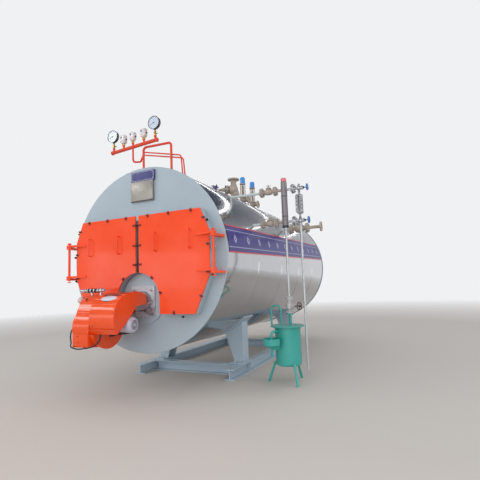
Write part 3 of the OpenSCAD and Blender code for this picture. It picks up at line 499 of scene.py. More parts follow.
class Finish:
    """The object's finishes by name, each built once when it is first asked for."""

    KINDS: tuple[Any, ...] = (
        Paint("base_grey", srgb(180, 197, 210), roughness=0.42, coat=0.15, dust=0.30),
        Paint("plate_grey", srgb(164, 178, 187), roughness=0.40, coat=0.18, drift=0.07),
        PolishedSheet("mirror_cladding", (0.56, 0.56, 0.57)),
        RawMetal("sooty_steel", srgb(60, 56, 52), roughness=0.75, metallic=0.4, grain=0.0005),
        Paint("door_red", srgb(248, 76, 26), roughness=0.36, coat=0.6, drift=0.08, dust=0.06,
              coat_roughness=0.1, sheen=0.0),
        Paint("burner_orange", srgb(238, 78, 16), roughness=0.24, coat=0.7, drift=0.06, dust=0.03,
              coat_roughness=0.04, sheen=0.1),
        RawMetal("bright_zinc", srgb(200, 202, 206), roughness=0.30),
        RawMetal("cast_aluminium", srgb(176, 164, 168), roughness=0.45, grain=0.0003),
        Paint("motor_lilac", srgb(186, 186, 202), roughness=0.40, coat=0.2),
        Paint("cable_black", srgb(26, 25, 26), roughness=0.55, coat=0.0, dust=0.3),
        Paint("enamel_blue", srgb(30, 32, 112), roughness=0.22, coat=0.7, dust=0.05),
        BrushedPlate("data_sheet", srgb(166, 162, 155)),
        Paint("pipe_red", srgb(226, 66, 36), roughness=0.34, coat=0.25, dust=0.06, sheen=0.2),
        Paint("gauge_black", srgb(28, 28, 31), roughness=0.30, coat=0.5),
        Paint("switch_cream", srgb(226, 214, 212), roughness=0.46, coat=0.05),
        RawMetal("cast_primer", srgb(182, 168, 156), roughness=0.58, metallic=0.2, grain=0.0006,
                 stain=0.4),
        RawMetal("cast_pale", srgb(206, 202, 204), roughness=0.5, metallic=0.3, stain=0.25),
        PipeRun("level_run", srgb(205, 214, 212), srgb(186, 172, 160), srgb(204, 206, 210), 1.068, 1.4),
        PipeRun("feed_run", srgb(205, 210, 210), srgb(192, 178, 162), srgb(204, 206, 210), 1.044, 9),
        Paint("wheel_rust", srgb(112, 88, 84), roughness=0.50, coat=0.1, drift=0.2),
        Paint("wheel_blue", srgb(38, 112, 186), roughness=0.34, coat=0.4),
        Paint("column_grey", srgb(122, 114, 118), roughness=0.30, coat=0.7),
        RawMetal("galvanised", srgb(202, 206, 208), roughness=0.42, metallic=0.7, stain=0.15),
        RawMetal("spangled_zinc", srgb(204, 206, 212), roughness=0.56, metallic=0.4, grain_scale=60,
                 stain=0.45, stain_color=srgb(140, 142, 150)),
        RawMetal("gauge_steel", srgb(158, 158, 162), roughness=0.5, metallic=0.5, stain=0.5,
                 stain_color=srgb(92, 90, 92)),
        Paint("panel_dark", srgb(62, 34, 38), roughness=0.3, coat=0.5, dust=0.0),
        Paint("vessel_teal", srgb(28, 166, 154), roughness=0.36, coat=0.35, drift=0.14, dust=0.10),
        Paint("satin_black", srgb(36, 36, 38), roughness=0.42, coat=0.1),
        Paint("cap_blue", srgb(24, 142, 222), roughness=0.30, coat=0.4, dust=0.05),
        Paint("cap_pink", srgb(232, 120, 128), roughness=0.45, coat=0.1),
        Paint("dial_white", srgb(200, 210, 226), roughness=0.25, coat=0.6, dust=0.0, drift=0.02),
        Paint("mark_black", srgb(20, 20, 24), roughness=0.4, coat=0.0, dust=0.0),
        Paint("mark_pale", srgb(206, 210, 224), roughness=0.35, coat=0.3, dust=0.0),
        Paint("clip_red", srgb(150, 34, 24), roughness=0.5, coat=0.1, dust=0.1),
        Paint("bolt_red", srgb(104, 46, 40), roughness=0.5, coat=0.1, dust=0.1),
        RawMetal("brass", srgb(206, 164, 84), roughness=0.28, stain=0.3),
        RawMetal("dark_bolt", srgb(70, 66, 64), roughness=0.50, metallic=0.8, stain=0.4),
        Paint("glass_dark", srgb(14, 18, 22), roughness=0.06, coat=1.0, dust=0.0),
        BandPrint("band_print", srgb(52, 44, 132), srgb(214, 46, 52), srgb(206, 206, 234)),
    )
    BY_NAME = {kind.name: kind for kind in KINDS}
    OF_SLOT = {
        Slot.BASE: "base_grey", Slot.PLATE: "plate_grey", Slot.CLADDING: "mirror_cladding",
        Slot.SOOT: "sooty_steel", Slot.DOOR: "door_red", Slot.BURNER: "burner_orange",
        Slot.BRIGHT: "bright_zinc", Slot.ALUMINIUM: "cast_aluminium", Slot.MOTOR: "motor_lilac",
        Slot.RUBBER: "cable_black", Slot.ENAMEL: "enamel_blue", Slot.SHEET: "data_sheet",
        Slot.PIPE: "pipe_red", Slot.GAUGE_CASE: "gauge_black", Slot.SWITCH: "switch_cream",
        Slot.CAST_IRON: "cast_primer", Slot.WHEEL_RED: "wheel_rust", Slot.WHEEL_BLUE: "wheel_blue",
        Slot.COLUMN: "column_grey", Slot.PIPE_STEEL: "galvanised", Slot.VESSEL: "vessel_teal",
        Slot.BRACKET: "satin_black", Slot.BRASS: "brass", Slot.CAP_BLUE: "cap_blue",
        Slot.CAP_PINK: "cap_pink",
    }
    OF_NODE = {
        "vessel_valve": "cast_pale", "level_pipe_upper": "level_run", "level_pipe_lower": "level_run",
        "feed_line": "feed_run", "burner_flange": "spangled_zinc", "gauge_glass": "gauge_steel",
    }

    def __init__(self) -> None:
        """Starts with nothing built."""
        self._made: dict[str, bpy.types.Material] = {}

    def named(self, name: str) -> bpy.types.Material:
        """Gives a finish's material.

        Args:
            name: the finish's name.

        Returns:
            The material, built at the first call.
        """
        if name not in self._made:
            self._made[name] = new_material(name, self.BY_NAME[name].paint)
        return self._made[name]

    def dress(self, frame: dict[str, Any]) -> None:
        """Gives every node of the frame its own finish, or else that of its record slot.
        """
        for row in frame["record"]["subparts"]:
            node = frame["nodes"][row["node"]]
            node.data.materials.clear()
            name = self.OF_NODE.get(row["node"], self.OF_SLOT[Slot(row["material_slot"])])
            node.data.materials.append(self.named(name))


@dataclass(frozen=True)
class Datum:
    """The front plate's face and the shell's axis, from which all sizes are taken."""

    plate_y: float
    axis_z: float

    @classmethod
    def from_frame(cls) -> "Datum":
        """Reads both from the front plate's box."""
        low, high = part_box("front_plate")
        return cls(low.y, (low.z + high.z) / 2)

    def at(self, right: float, back: float, up: float) -> Vector:
        """Turns a place in millimetres into the frame's metres."""
        return Vector((right * MM, self.plate_y + back * MM, self.axis_z + up * MM))

    @staticmethod
    def shift(right: float = 0, back: float = 0, up: float = 0) -> Vector:
        """Turns a shift in millimetres into the frame's metres."""
        return Vector((right * MM, back * MM, up * MM))


@dataclass(frozen=True)
class BoltSize:
    """A hexagon head or nut: width over its flats, height, the stud's end past it, its washer."""

    across: float = 24
    head: float = 11
    shank: float = 6
    washer: bool = True


class Bench:
    """A mesh under work, with the few shapes that the sub-assemblies share.

    Places are the frame's vectors, in metres. Sizes are in millimetres, and the angles from which an
    edge is rounded (SHARP) or shaded as an edge (CREASE) are in radians.
    """

    SHARP: float = 0.7
    CREASE: float = 0.6
    FINE_BUTTON: float = 20
    WASHER: float = 2.5
    WASHER_SHARE: float = 0.62
    STUD_SHARE: float = 0.3

    def __init__(self) -> None:
        """Starts an empty mesh."""
        self.bm = bmesh.new()

    @staticmethod
    def stand(at: Vector, axis: Point) -> Matrix:
        """Gives the placing that turns +Z to an axis at a point."""
        return Matrix.Translation(at) @ Vector(axis).to_track_quat("Z", "Y").to_matrix().to_4x4()

    def _soften(self, verts: Iterable[bmesh.types.BMVert], width: float) -> None:
        """Rounds every sharp edge of a new shape.

        Args:
            verts: the corners of the shape.
            width: width of the rounded edges.
        """
        edges = {
            e for v in verts for e in v.link_edges
            if len(e.link_faces) == 2 and e.calc_face_angle(0) > self.SHARP
        }
        bmesh.ops.bevel(
            self.bm, geom=list(edges), offset=width * MM, offset_type="OFFSET", affect="EDGES",
            segments=2, profile=0.5, material=-1,
        )

    def rod(
        self, at: Vector, axis: Point, radius: float, length: float,
        sides: int = 24, tip: float | None = None, soft: float = 0.0,
    ) -> None:
        """Adds a round or many-sided bar that starts at a point.

        Args:
            at: middle of its first end.
            axis: its direction.
            radius: radius at the first end.
            length: its length.
            sides: how many sides it has.
            tip: radius at the far end, where it differs.
            soft: width of its rounded edges.
        """
        matrix = self.stand(at, axis) @ Matrix.Translation((0, 0, length * MM / 2))
        made = bmesh.ops.create_cone(
            self.bm, cap_ends=True, cap_tris=False, segments=sides, radius1=radius * MM,
            radius2=(radius if tip is None else tip) * MM, depth=length * MM, matrix=matrix,
        )
        if soft:
            self._soften(made["verts"], soft)

    def block(self, at: Vector, size: Point, soft: float = 0.0, turn: Matrix | None = None) -> None:
        """Adds a block.

        Args:
            at: its middle.
            size: its size along the three axes.
            soft: width of its rounded edges.
            turn: how it is turned.
        """
        scale = Matrix.Diagonal((*(s * MM for s in size), 1))
        matrix = Matrix.Translation(at) @ (turn or Matrix()) @ scale
        made = bmesh.ops.create_cube(self.bm, size=1, matrix=matrix)
        if soft:
            self._soften(made["verts"], soft)

    def button(self, at: Vector, axis: Point, radius: float, height: float, across: float = 1.0) -> None:
        """Adds a low dome, or an oval one, that lies on a seat.

        Args:
            at: the middle of its seat.
            axis: direction out of the seat.
            radius: its radius, or half its length where it is oval.
            height: how far it stands out.
            across: its width over its length.
        """
        squash = Matrix.Diagonal((radius * MM, radius * MM * across, height * MM, 1))
        sides = 32 if radius > self.FINE_BUTTON else 10
        bmesh.ops.create_uvsphere(
            self.bm, u_segments=sides, v_segments=8, radius=1, matrix=self.stand(at, axis) @ squash
        )

    def prism(self, outline: Sequence[Vector], along: Vector, soft: float = 0.0) -> None:
        """Adds a flat outline drawn out along a vector.

        Args:
            outline: its corners in order.
            along: where the far face lies from the near one.
            soft: width of its rounded edges.
        """
        near = [self.bm.verts.new(point) for point in outline]
        out = bmesh.ops.extrude_face_region(self.bm, geom=[self.bm.faces.new(near)])["geom"]
        far = [g for g in out if isinstance(g, bmesh.types.BMVert)]
        bmesh.ops.translate(self.bm, vec=along, verts=far)
        if soft:
            self._soften([*near, *far], soft)

    def lathe(self, at: Vector, axis: Point, profile: Sequence[Flat], steps: int = 32) -> None:
        """Spins a profile of (radius, distance along) round an axis.

        Args:
            at: where the axis starts.
            axis: its direction.
            profile: the outline, closed to the axis at both ends or back to its first point.
            steps: how many faces go round.
        """
        matrix = self.stand(at, axis)
        verts = [self.bm.verts.new(matrix @ Vector((r * MM, 0, z * MM))) for r, z in profile]
        edges = [self.bm.edges.new(pair) for pair in pairwise(verts)]
        bmesh.ops.spin(
            self.bm, geom=[*verts, *edges], cent=matrix.translation,
            axis=matrix.to_3x3() @ Vector(UP), angle=math.tau, steps=steps, use_merge=True,
            use_duplicate=False,
        )
        bmesh.ops.remove_doubles(self.bm, verts=self.bm.verts[:], dist=1e-6)

    def tube(self, path: Sequence[Vector], radius: float, sides: int = 12) -> None:
        """Pushes a round outline along a path.

        Args:
            path: the points that its middle follows.
            radius: its radius.
            sides: how many sides it has.
        """
        stands = []
        for i, point in enumerate(path):
            way = path[min(i + 1, len(path) - 1)] - path[max(i - 1, 0)]
            stands.append(Matrix.Translation(point) @ way.to_track_quat("Z", "X").to_matrix().to_4x4())
        made = bmesh.ops.create_circle(
            self.bm, cap_ends=True, segments=sides, radius=radius * MM, matrix=stands[0]
        )
        cap = made["verts"][0].link_faces[0]
        for here, there in pairwise(stands):
            out = bmesh.ops.extrude_face_region(self.bm, geom=[cap])["geom"]
            moved = [g for g in out if isinstance(g, bmesh.types.BMVert)]
            cap = next(g for g in out if isinstance(g, bmesh.types.BMFace))
            bmesh.ops.transform(self.bm, matrix=there @ here.inverted(), verts=moved)

    def bolt(self, at: Vector, axis: Point, size: BoltSize) -> None:
        """Adds a hexagon head or nut with its washer and stud end.

        Args:
            at: where its axis meets the seat.
            axis: direction out of the seat.
            size: its sizes.
        """
        out = Vector(axis).normalized()
        lift = self.WASHER * MM if size.washer else 0.0
        if size.washer:
            self.rod(at, axis, size.across * self.WASHER_SHARE, self.WASHER, sides=20)
        self.rod(at + out * lift, axis, size.across / math.sqrt(3), size.head, sides=6, soft=0.9)
        if size.shank:
            end = at + out * (lift + size.head * MM)
            self.rod(end, axis, size.across * self.STUD_SHARE, size.shank, sides=12, soft=1)

    def ring_of_bolts(
        self, middle: Vector, axis: Point, radius: float, count: int, size: BoltSize,
        out: float = 0, start: float = 0.5,
    ) -> None:
        """Adds bolts on a circle.

        Args:
            middle: middle of the circle.
            axis: direction that the bolts look.
            radius: the circle's radius.
            count: how many.
            size: their sizes.
            out: how far their seats stand out of the circle's plane.
            start: place of the first, in pitches.
        """
        matrix = self.stand(middle, axis)
        for i in range(count):
            angle = math.tau * (i + start) / count
            seat = Vector((radius * MM * math.cos(angle), radius * MM * math.sin(angle), out * MM))
            self.bolt(matrix @ seat, axis, size)

    def emit(
        self, name: str, material: bpy.types.Material, body: Body, slot: Slot,
    ) -> bpy.types.Object:
        """Turns the mesh into a piece of the object.

        Args:
            name: the piece's name.
            material: its finish.
            body: the body that it rides on.
            slot: the record slot that its finish belongs to; not used.

        Returns:
            The piece.
        """
        bmesh.ops.recalc_face_normals(self.bm, faces=self.bm.faces[:])
        for face in self.bm.faces:
            face.smooth = True
        for edge in self.bm.edges:
            edge.smooth = len(edge.link_faces) == 2 and edge.calc_face_angle(0) < self.CREASE
        mesh = bpy.data.meshes.new(name)
        self.bm.to_mesh(mesh)
        self.bm.free()
        piece = bpy.data.objects.new(name, mesh)
        bpy.context.scene.collection.objects.link(piece)
        mesh.materials.append(material)
        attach(piece, body.value)
        LOG.info("%s: %d faces on %s", name, len(mesh.polygons), body.value)
        return piece


@dataclass(frozen=True)
class Shot:
    """The camera, where the photograph was taken from."""

    right: float = 2722
    back: float = -3409
    up: float = -339
    yaw: float = -0.42392
    pitch: float = 0.0962
    roll: float = -0.03693
    lens: float = 28.178
    shift: Flat = (0.00104, 0.01875)

    def make(self, datum: Datum) -> None:
        """Sets up the camera and makes it the scene's own.

        Args:
            datum: where its place is taken from.
        """
        forward = Vector((
            math.sin(self.yaw) * math.cos(self.pitch),
            math.cos(self.yaw) * math.cos(self.pitch),
            math.sin(self.pitch),
        ))
        level = Vector((math.cos(self.yaw), -math.sin(self.yaw), 0))
        upright = level.cross(forward)
        side = level * math.cos(self.roll) + upright * math.sin(self.roll)
        top = upright * math.cos(self.roll) - level * math.sin(self.roll)
        data = bpy.data.cameras.new("camera")
        data.lens = self.lens
        data.shift_x, data.shift_y = self.shift
        data.clip_end = 200
        camera = bpy.data.objects.new("camera", data)
        turn = Matrix((side, top, -forward)).transposed().to_4x4()
        camera.matrix_world = Matrix.Translation(datum.at(self.right, self.back, self.up)) @ turn
        bpy.context.scene.collection.objects.link(camera)
        bpy.context.scene.camera = camera


@dataclass(frozen=True)
class Lamp:
    """An area lamp by its name, place, aim, size in metres and power."""

    name: str
    at: Point
    to: Point
    size: Flat
    power: float

    def hang(self) -> None:
        """Hangs the lamp and points it."""
        data = bpy.data.lights.new(self.name, "AREA")
        data.shape = "RECTANGLE"
        data.size, data.size_y = self.size
        data.energy = self.power
        lamp = bpy.data.objects.new(self.name, data)
        turn = (Vector(self.to) - Vector(self.at)).to_track_quat("-Z", "Y")
        lamp.matrix_world = Matrix.Translation(self.at) @ turn.to_matrix().to_4x4()
        bpy.context.scene.collection.objects.link(lamp)


@dataclass(frozen=True)
class Studio:
    """A pale floor that fades into a pale background, ceiling lights across it, soft side light.

    Its sizes are in metres.
    """

    floor_size: float = 90
    floor_color: RGB = srgb(200, 192, 185)
    horizon: RGB = srgb(240, 241, 243)
    ceiling: RGB = srgb(80, 86, 100)
    ambient: RGB = (0.88, 0.94, 1.0)
    ambient_strength: float = 0.66
    fade_middle: float = 1.2
    fade_from: float = 6.5
    fade_to: float = 17
    strip_rows: tuple[float, ...] = (-8.6, -6.2, -3.4, 0.2, 3.8, 7.4, 11.6, 16.0)
    strip_x: float = -1.0
    strip_height: float = 6.4
    strip_size: Flat = (20.0, 0.14)
    strip_power: float = 62
    lamps: tuple[Lamp, ...] = (
        Lamp("front_fill", (1.0, -9.0, 3.4), (0, 0, 0.9), (7.0, 3.0), 125),
        Lamp("low_fill", (3.5, -8.0, 0.9), (0.2, 0, 0.5), (7.0, 1.2), 85),
        Lamp("left_high", (-7.0, -6.4, 6.0), (0, -1.4, 1.0), (4.0, 1.4), 100),
        Lamp("left_low", (-6.2, -9.2, 1.8), (0, -1.4, 1.1), (4.0, 1.4), 25),
        Lamp("side_fill", (9.5, -1.0, 3.6), (0, 1.0, 1.2), (6.0, 3.0), 87.5),
    )

    def make(self) -> None:
        """Builds the stage, the world and the lamps."""
        self._make_floor()
        self._make_world()
        for i, y in enumerate(self.strip_rows):
            place = (self.strip_x, y, self.strip_height)
            Lamp(f"strip_{i}", place, (self.strip_x, y, 0), self.strip_size, self.strip_power).hang()
        for lamp in self.lamps:
            lamp.hang()
        bpy.context.scene.view_settings.view_transform = "Standard"

    def _make_floor(self) -> None:
        """Lays the floor, which is see-through far from the object."""
        bm = bmesh.new()
        bmesh.ops.create_grid(bm, x_segments=1, y_segments=1, size=self.floor_size / 2)
        mesh = bpy.data.meshes.new("floor")
        bm.to_mesh(mesh)
        bm.free()
        floor = bpy.data.objects.new("floor", mesh)
        bpy.context.scene.collection.objects.link(floor)
        mesh.materials.append(new_material("studio_floor", self._paint_floor))

    def _paint_floor(self, g: Graph) -> None:
        """Lays a matt floor that is see-through far from the object.

        Args:
            g: the material's node tree.
        """
        place = g.place()
        right, back = g.axis(place, "X"), g.axis(place, "Y") - self.fade_middle
        far = (right * right + back * back).root().between(self.fade_from, self.fade_to)
        matt = g.add("ShaderNodeBsdfDiffuse", inputs={"Color": (*self.floor_color, 1)})
        clear = g.add("ShaderNodeBsdfTransparent")
        g.close(g.add("ShaderNodeMixShader", inputs={0: far, 1: matt, 2: clear}))

    def _make_world(self) -> None:
        """Makes the background pale to the eye and in metal, with a grey ceiling overhead."""
        world = bpy.data.worlds.new("studio")
        world.use_nodes = True
        bpy.context.scene.world = world
        g = Graph(world.node_tree)
        height = g.axis(g.add("ShaderNodeTexCoord", output="Generated"), "Z")
        by_eye, in_metal, in_glass = (
            g.add("ShaderNodeLightPath", output=f"Is {kind} Ray")
            for kind in ("Camera", "Glossy", "Transmission")
        )
        overhead = height.between(0.08, 0.5) * (1 - by_eye)
        seen_color = g.mix(overhead, self.horizon, self.ceiling)
        seen = (by_eye + in_metal + in_glass) > 0.5
        light = g.add("ShaderNodeBackground", inputs={
            "Color": (*self.ambient, 1), "Strength": self.ambient_strength,
        })
        pale = g.add("ShaderNodeBackground", inputs={"Color": seen_color})
        both = g.add("ShaderNodeMixShader", inputs={0: seen, 1: light, 2: pale})
        g.close(both, "ShaderNodeOutputWorld")


@dataclass
class SubAssembly:
    """What every group of pieces is built from."""

    datum: Datum
    finish: Finish

    def emit(
        self, bench: Bench, name: str, finish: str, slot: Slot, body: Body = Body.BOILER,
    ) -> bpy.types.Object:
        """Turns a bench's mesh into a piece with a named finish."""
        return bench.emit(name, self.finish.named(finish), body, slot)

    def build(self) -> None:
        """Makes the group's pieces."""
        raise NotImplementedError


@dataclass
class Cable(SubAssembly):
    """The cable that hangs under the burner between its two glands."""

    diameter: float = 14
    route: tuple[Point, ...] = (
        (-477, -500, -712), (-490, -500, -712), (-519, -500, -718), (-544, -501, -736),
        (-558, -505, -765), (-558, -512, -800), (-544, -523, -836), (-518, -541, -868),
        (-484, -576, -895), (-435, -592, -907), (-382, -599, -914), (-328, -600.5, -914),
        (-275, -600.5, -906), (-258, -597, -905), (-236, -590, -902), (-209, -574, -895),
        (-183, -554, -881), (-160, -536, -860), (-143, -525, -828), (-136, -520, -784),
        (-136, -520, -768),
    )

    def build(self) -> None:
        """Makes the cable as a curve on its route."""
        data = bpy.data.curves.new("burner_cable_run", "CURVE")
        data.dimensions = "3D"
        data.bevel_depth = self.diameter / 2 * MM
        data.bevel_resolution = 5
        data.use_fill_caps = True
        data.resolution_u = 6
        spline = data.splines.new("BEZIER")
        spline.bezier_points.add(len(self.route) - 1)
        for point, place in zip(spline.bezier_points, self.route):
            point.co = self.datum.at(*place)
            point.handle_left_type = point.handle_right_type = "AUTO"
        piece = bpy.data.objects.new("burner_cable_run", data)
        bpy.context.scene.collection.objects.link(piece)
        data.materials.append(self.finish.named("cable_black"))
        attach(piece, Body.BOILER.value)
        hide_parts("burner_cable")
        length = sum((self.datum.at(*b) - self.datum.at(*a)).length for a, b in pairwise(self.route))
        self.datum.at(*self.route[0])
        self.diameter * MM


@dataclass
class DoorFittings(SubAssembly):
    """Bolts, clips and handle feet of the smokebox doors, and what stays on the frame round them.

    That is the swing bolts' lugs and studs, a dark strip set in the gap between the doors as painted shade
    there, and the hinge pins' heads. Each row of bolts or lugs is right, up and the turn in degrees.
    """

    door_face: float = -120
    edge_bolts: tuple[Point, ...] = (
        (150, 455, 90), (420, 455, 90), (700, 455, 90), (846, 364, 0), (892, 90, 0), (883, -190, -20),
        (800, -430, -28), (470, -596, -90), (304, -385, 160), (196, -224, 115),
    )
    edge_bolt: BoltSize = BoltSize(20, 11, 9)
    clip: Point = (44, 5, 20)
    clamp_right: float = 40
    clamp_heights: tuple[float, ...] = (363, 138, -73)
    clamp: Point = (34, 9, 24)
    frame_face: float = -104
    frame_stud: BoltSize = BoltSize(20, 10, 24)
    lugs: tuple[Point, ...] = ((874, 340, 30), (936, 63, 0), (920, -222, -20), (566, -640, -90))
    left_lugs_from: float = -600
    lug: Point = (52, 14, 24)
    lug_middle: float = -88
    lug_face: float = -95
    lug_stud: BoltSize = BoltSize(22, 12, 12)
    strip_span: Flat = (-156, 418)
    strip_middle: float = -105
    strip_size: Flat = (38, 3)
    pin: Point = (978, -165, 220)
    pin_foot: float = -228
    handle_feet: tuple[Flat, ...] = ((250, 69), (250, 253), (680, 69), (680, 253))
    foot_radii: Flat = (11, 8)

    def build(self) -> None:
        """Makes each door's pieces, and those that stay on the frame."""
        for side, body, name in ((1, Body.RIGHT_DOOR, "right"), (-1, Body.LEFT_DOOR, "left")):
            self._dress_door(side, body, name)
        studs, lugs, caps, strip = Bench(), Bench(), Bench(), Bench()
        low, high = self.strip_span
        width, depth = self.strip_size
        # a black strip in the gap between the doors: painted shade, standing in for the dark depth behind
        # the gap
        strip.block(self.datum.at(0, self.strip_middle, (low + high) / 2), (width, depth, high - low), 1)
        for z in self.clamp_heights:
            studs.bolt(self.datum.at(0, self.frame_face, z), FRONT, self.frame_stud)
        for side in (-1, 1):
            for x, z, angle in self.lugs:
                if side < 0 and z < self.left_lugs_from:
                    continue
                lugs.block(self.datum.at(side * x, self.lug_middle, z), self.lug, 2, self._turn(angle, side))
                out = x + 6 * math.cos(math.radians(angle))
                studs.bolt(self.datum.at(side * out, self.lug_face, z), FRONT, self.lug_stud)
            x, y, z = self.pin
            top = self.datum.at(side * x, y, z)
            caps.rod(top, UP, 23, 12, sides=32, soft=3)
            caps.button(top + Datum.shift(up=11.5), UP, 15, 8)
            caps.rod(self.datum.at(side * x, y, self.pin_foot), DOWN, 20, 10, sides=32, soft=2)
        self.emit(studs, "frame_studs", "dark_bolt", Slot.BRIGHT)
        # the black strip in the door gap is painted shade
        self.emit(strip, "gap_shade_strip", "satin_black", Slot.RUBBER)
        self.emit(lugs, "swing_bolt_lugs", "plate_grey", Slot.PLATE)
        self.emit(caps, "hinge_pin_heads", "door_red", Slot.DOOR)

    @staticmethod
    def _turn(angle: float, side: int) -> Matrix:
        """Turns by degrees about the way back, mirrored on the left side."""
        return Matrix.Rotation(-math.radians(angle) * side, 4, "Y")

    def _dress_door(self, side: int, body: Body, name: str) -> None:
        """Makes the bolts, clips and handle feet of one door.

        Args:
            side: 1 for the right door, -1 for the left.
            body: what they ride on.
            name: the door's name.
        """
        bolts, clips, feet = Bench(), Bench(), Bench()
        for x, z, angle in self.edge_bolts:
            seat = self.datum.at(side * x, self.door_face, z)
            clips.block(seat + Datum.shift(back=-2), self.clip, 1.5, self._turn(angle, side))
            bolts.bolt(seat + Datum.shift(back=-4.5), FRONT, self.edge_bolt)
        for z in self.clamp_heights:
            seat = self.datum.at(side * self.clamp_right, self.door_face, z)
            clips.block(seat + Datum.shift(back=-4), self.clamp, 2)
            bolts.rod(seat + Datum.shift(back=-8), FRONT, 5, 18, sides=12, soft=1)
        radius, tip = self.foot_radii
        for x, z in self.handle_feet:
            feet.rod(self.datum.at(side * x, self.door_face, z), FRONT, radius, 5, tip=tip)
        self.emit(bolts, f"door_bolts_{name}", "bolt_red", Slot.BRIGHT, body)
        self.emit(clips, f"door_clips_{name}", "clip_red", Slot.DOOR, body)
        self.emit(feet, f"handle_feet_{name}", "door_red", Slot.DOOR, body)


@dataclass
class Nameplates(SubAssembly):
    """The bare enamel plate and the data box's cover on the front plate."""

    face: float = -30
    enamel: Sides = (-149, 173, 888, 1004)
    enamel_lines: tuple[Flat, ...] = ((7, 2.2), (14, 0.9))
    enamel_screw: float = 22
    cover: Sides = (-155, 155, 655, 886)

    def build(self) -> None:
        """Makes borders, screws, the ruled cover and its dark lower edge."""
        border, screws, cover, edge = Bench(), Bench(), Bench(), Bench()
        left, right, low, high = self.enamel
        for inset, width in self.enamel_lines:
            self._outline(border, (left + inset, right - inset, low + inset, high - inset), width)
        for x in (left + self.enamel_screw, right - self.enamel_screw):
            for z in (low + self.enamel_screw, high - self.enamel_screw):
                screws.button(self.datum.at(x, self.face, z), FRONT, 4.5, 2.5)
        left, right, low, high = self.cover
        middle = (left + right) / 2
        cover.block(
            self.datum.at(middle, self.face - 1, (low + high) / 2 + 3),
            (right - left - 12, 2, high - low - 18), 0.8,
        )
        edge.block(self.datum.at(middle, self.face - 1, low + 4), (right - left, 3, 7), 1)
        for x in (left + 14, right - 14):
            for z in (low + 20, high - 14):
                screws.button(self.datum.at(x, self.face - 2, z), FRONT, 5, 3)
        self.emit(border, "nameplate_border", "mark_pale", Slot.ENAMEL)
        self.emit(screws, "nameplate_screws", "bright_zinc", Slot.BRIGHT)
        self.emit(cover, "data_cover", "data_sheet", Slot.SHEET)
        self.emit(edge, "data_cover_edge", "dark_bolt", Slot.SHEET)

    def _outline(self, bench: Bench, sides: Sides, width: float) -> None:
        """Adds a thin raised line round a rectangle.

        Args:
            bench: the mesh that it goes into.
            sides: the rectangle's left, right, low and high.
            width: the line's width.
        """
        left, right, low, high = sides
        mid_x, mid_z = (left + right) / 2, (low + high) / 2
        across, down = (right - left + width, 0.8, width), (width, 0.8, high - low - width)
        for x, z, size in (
            (mid_x, low, across), (mid_x, high, across), (left, mid_z, down), (right, mid_z, down),
        ):
            bench.block(self.datum.at(x, self.face - 0.3, z), size)


def smooth_line(points: Sequence[Flat], steps: int = 6) -> list[Flat]:
    """Runs a smooth curve through points.

    Args:
        points: the points in order.
        steps: how many pieces each stretch gets.

    Returns:
        The curve's points.
    """
    line = []
    ends = [points[0], *points, points[-1]]
    for quad in zip(ends, ends[1:], ends[2:], ends[3:]):
        for i in range(steps):
            t = i / steps
            line.append(tuple(
                0.5 * (
                    2 * b + (c - a) * t + (2 * a - 5 * b + 4 * c - d) * t ** 2
                    + (3 * b - a - 3 * c + d) * t ** 3
                )
                for a, b, c, d in zip(*quad)
            ))
    return [*line, points[-1]]


def beside(line: Sequence[Flat], by: float, closed: bool = False) -> list[Flat]:
    """Moves every point of a line out to its left.

    Args:
        line: the points in order.
        by: how far.
        closed: whether the last point is next to the first.

    Returns:
        The moved points.
    """
    count = len(line)
    moved = []
    for i, (x, y) in enumerate(line):
        before = line[i - 1] if closed or i else line[i]
        after = line[(i + 1) % count] if closed or i < count - 1 else line[i]
        way = Vector((after[0] - before[0], after[1] - before[1])).normalized()
        moved.append((x - way.y * by, y + way.x * by))
    return moved


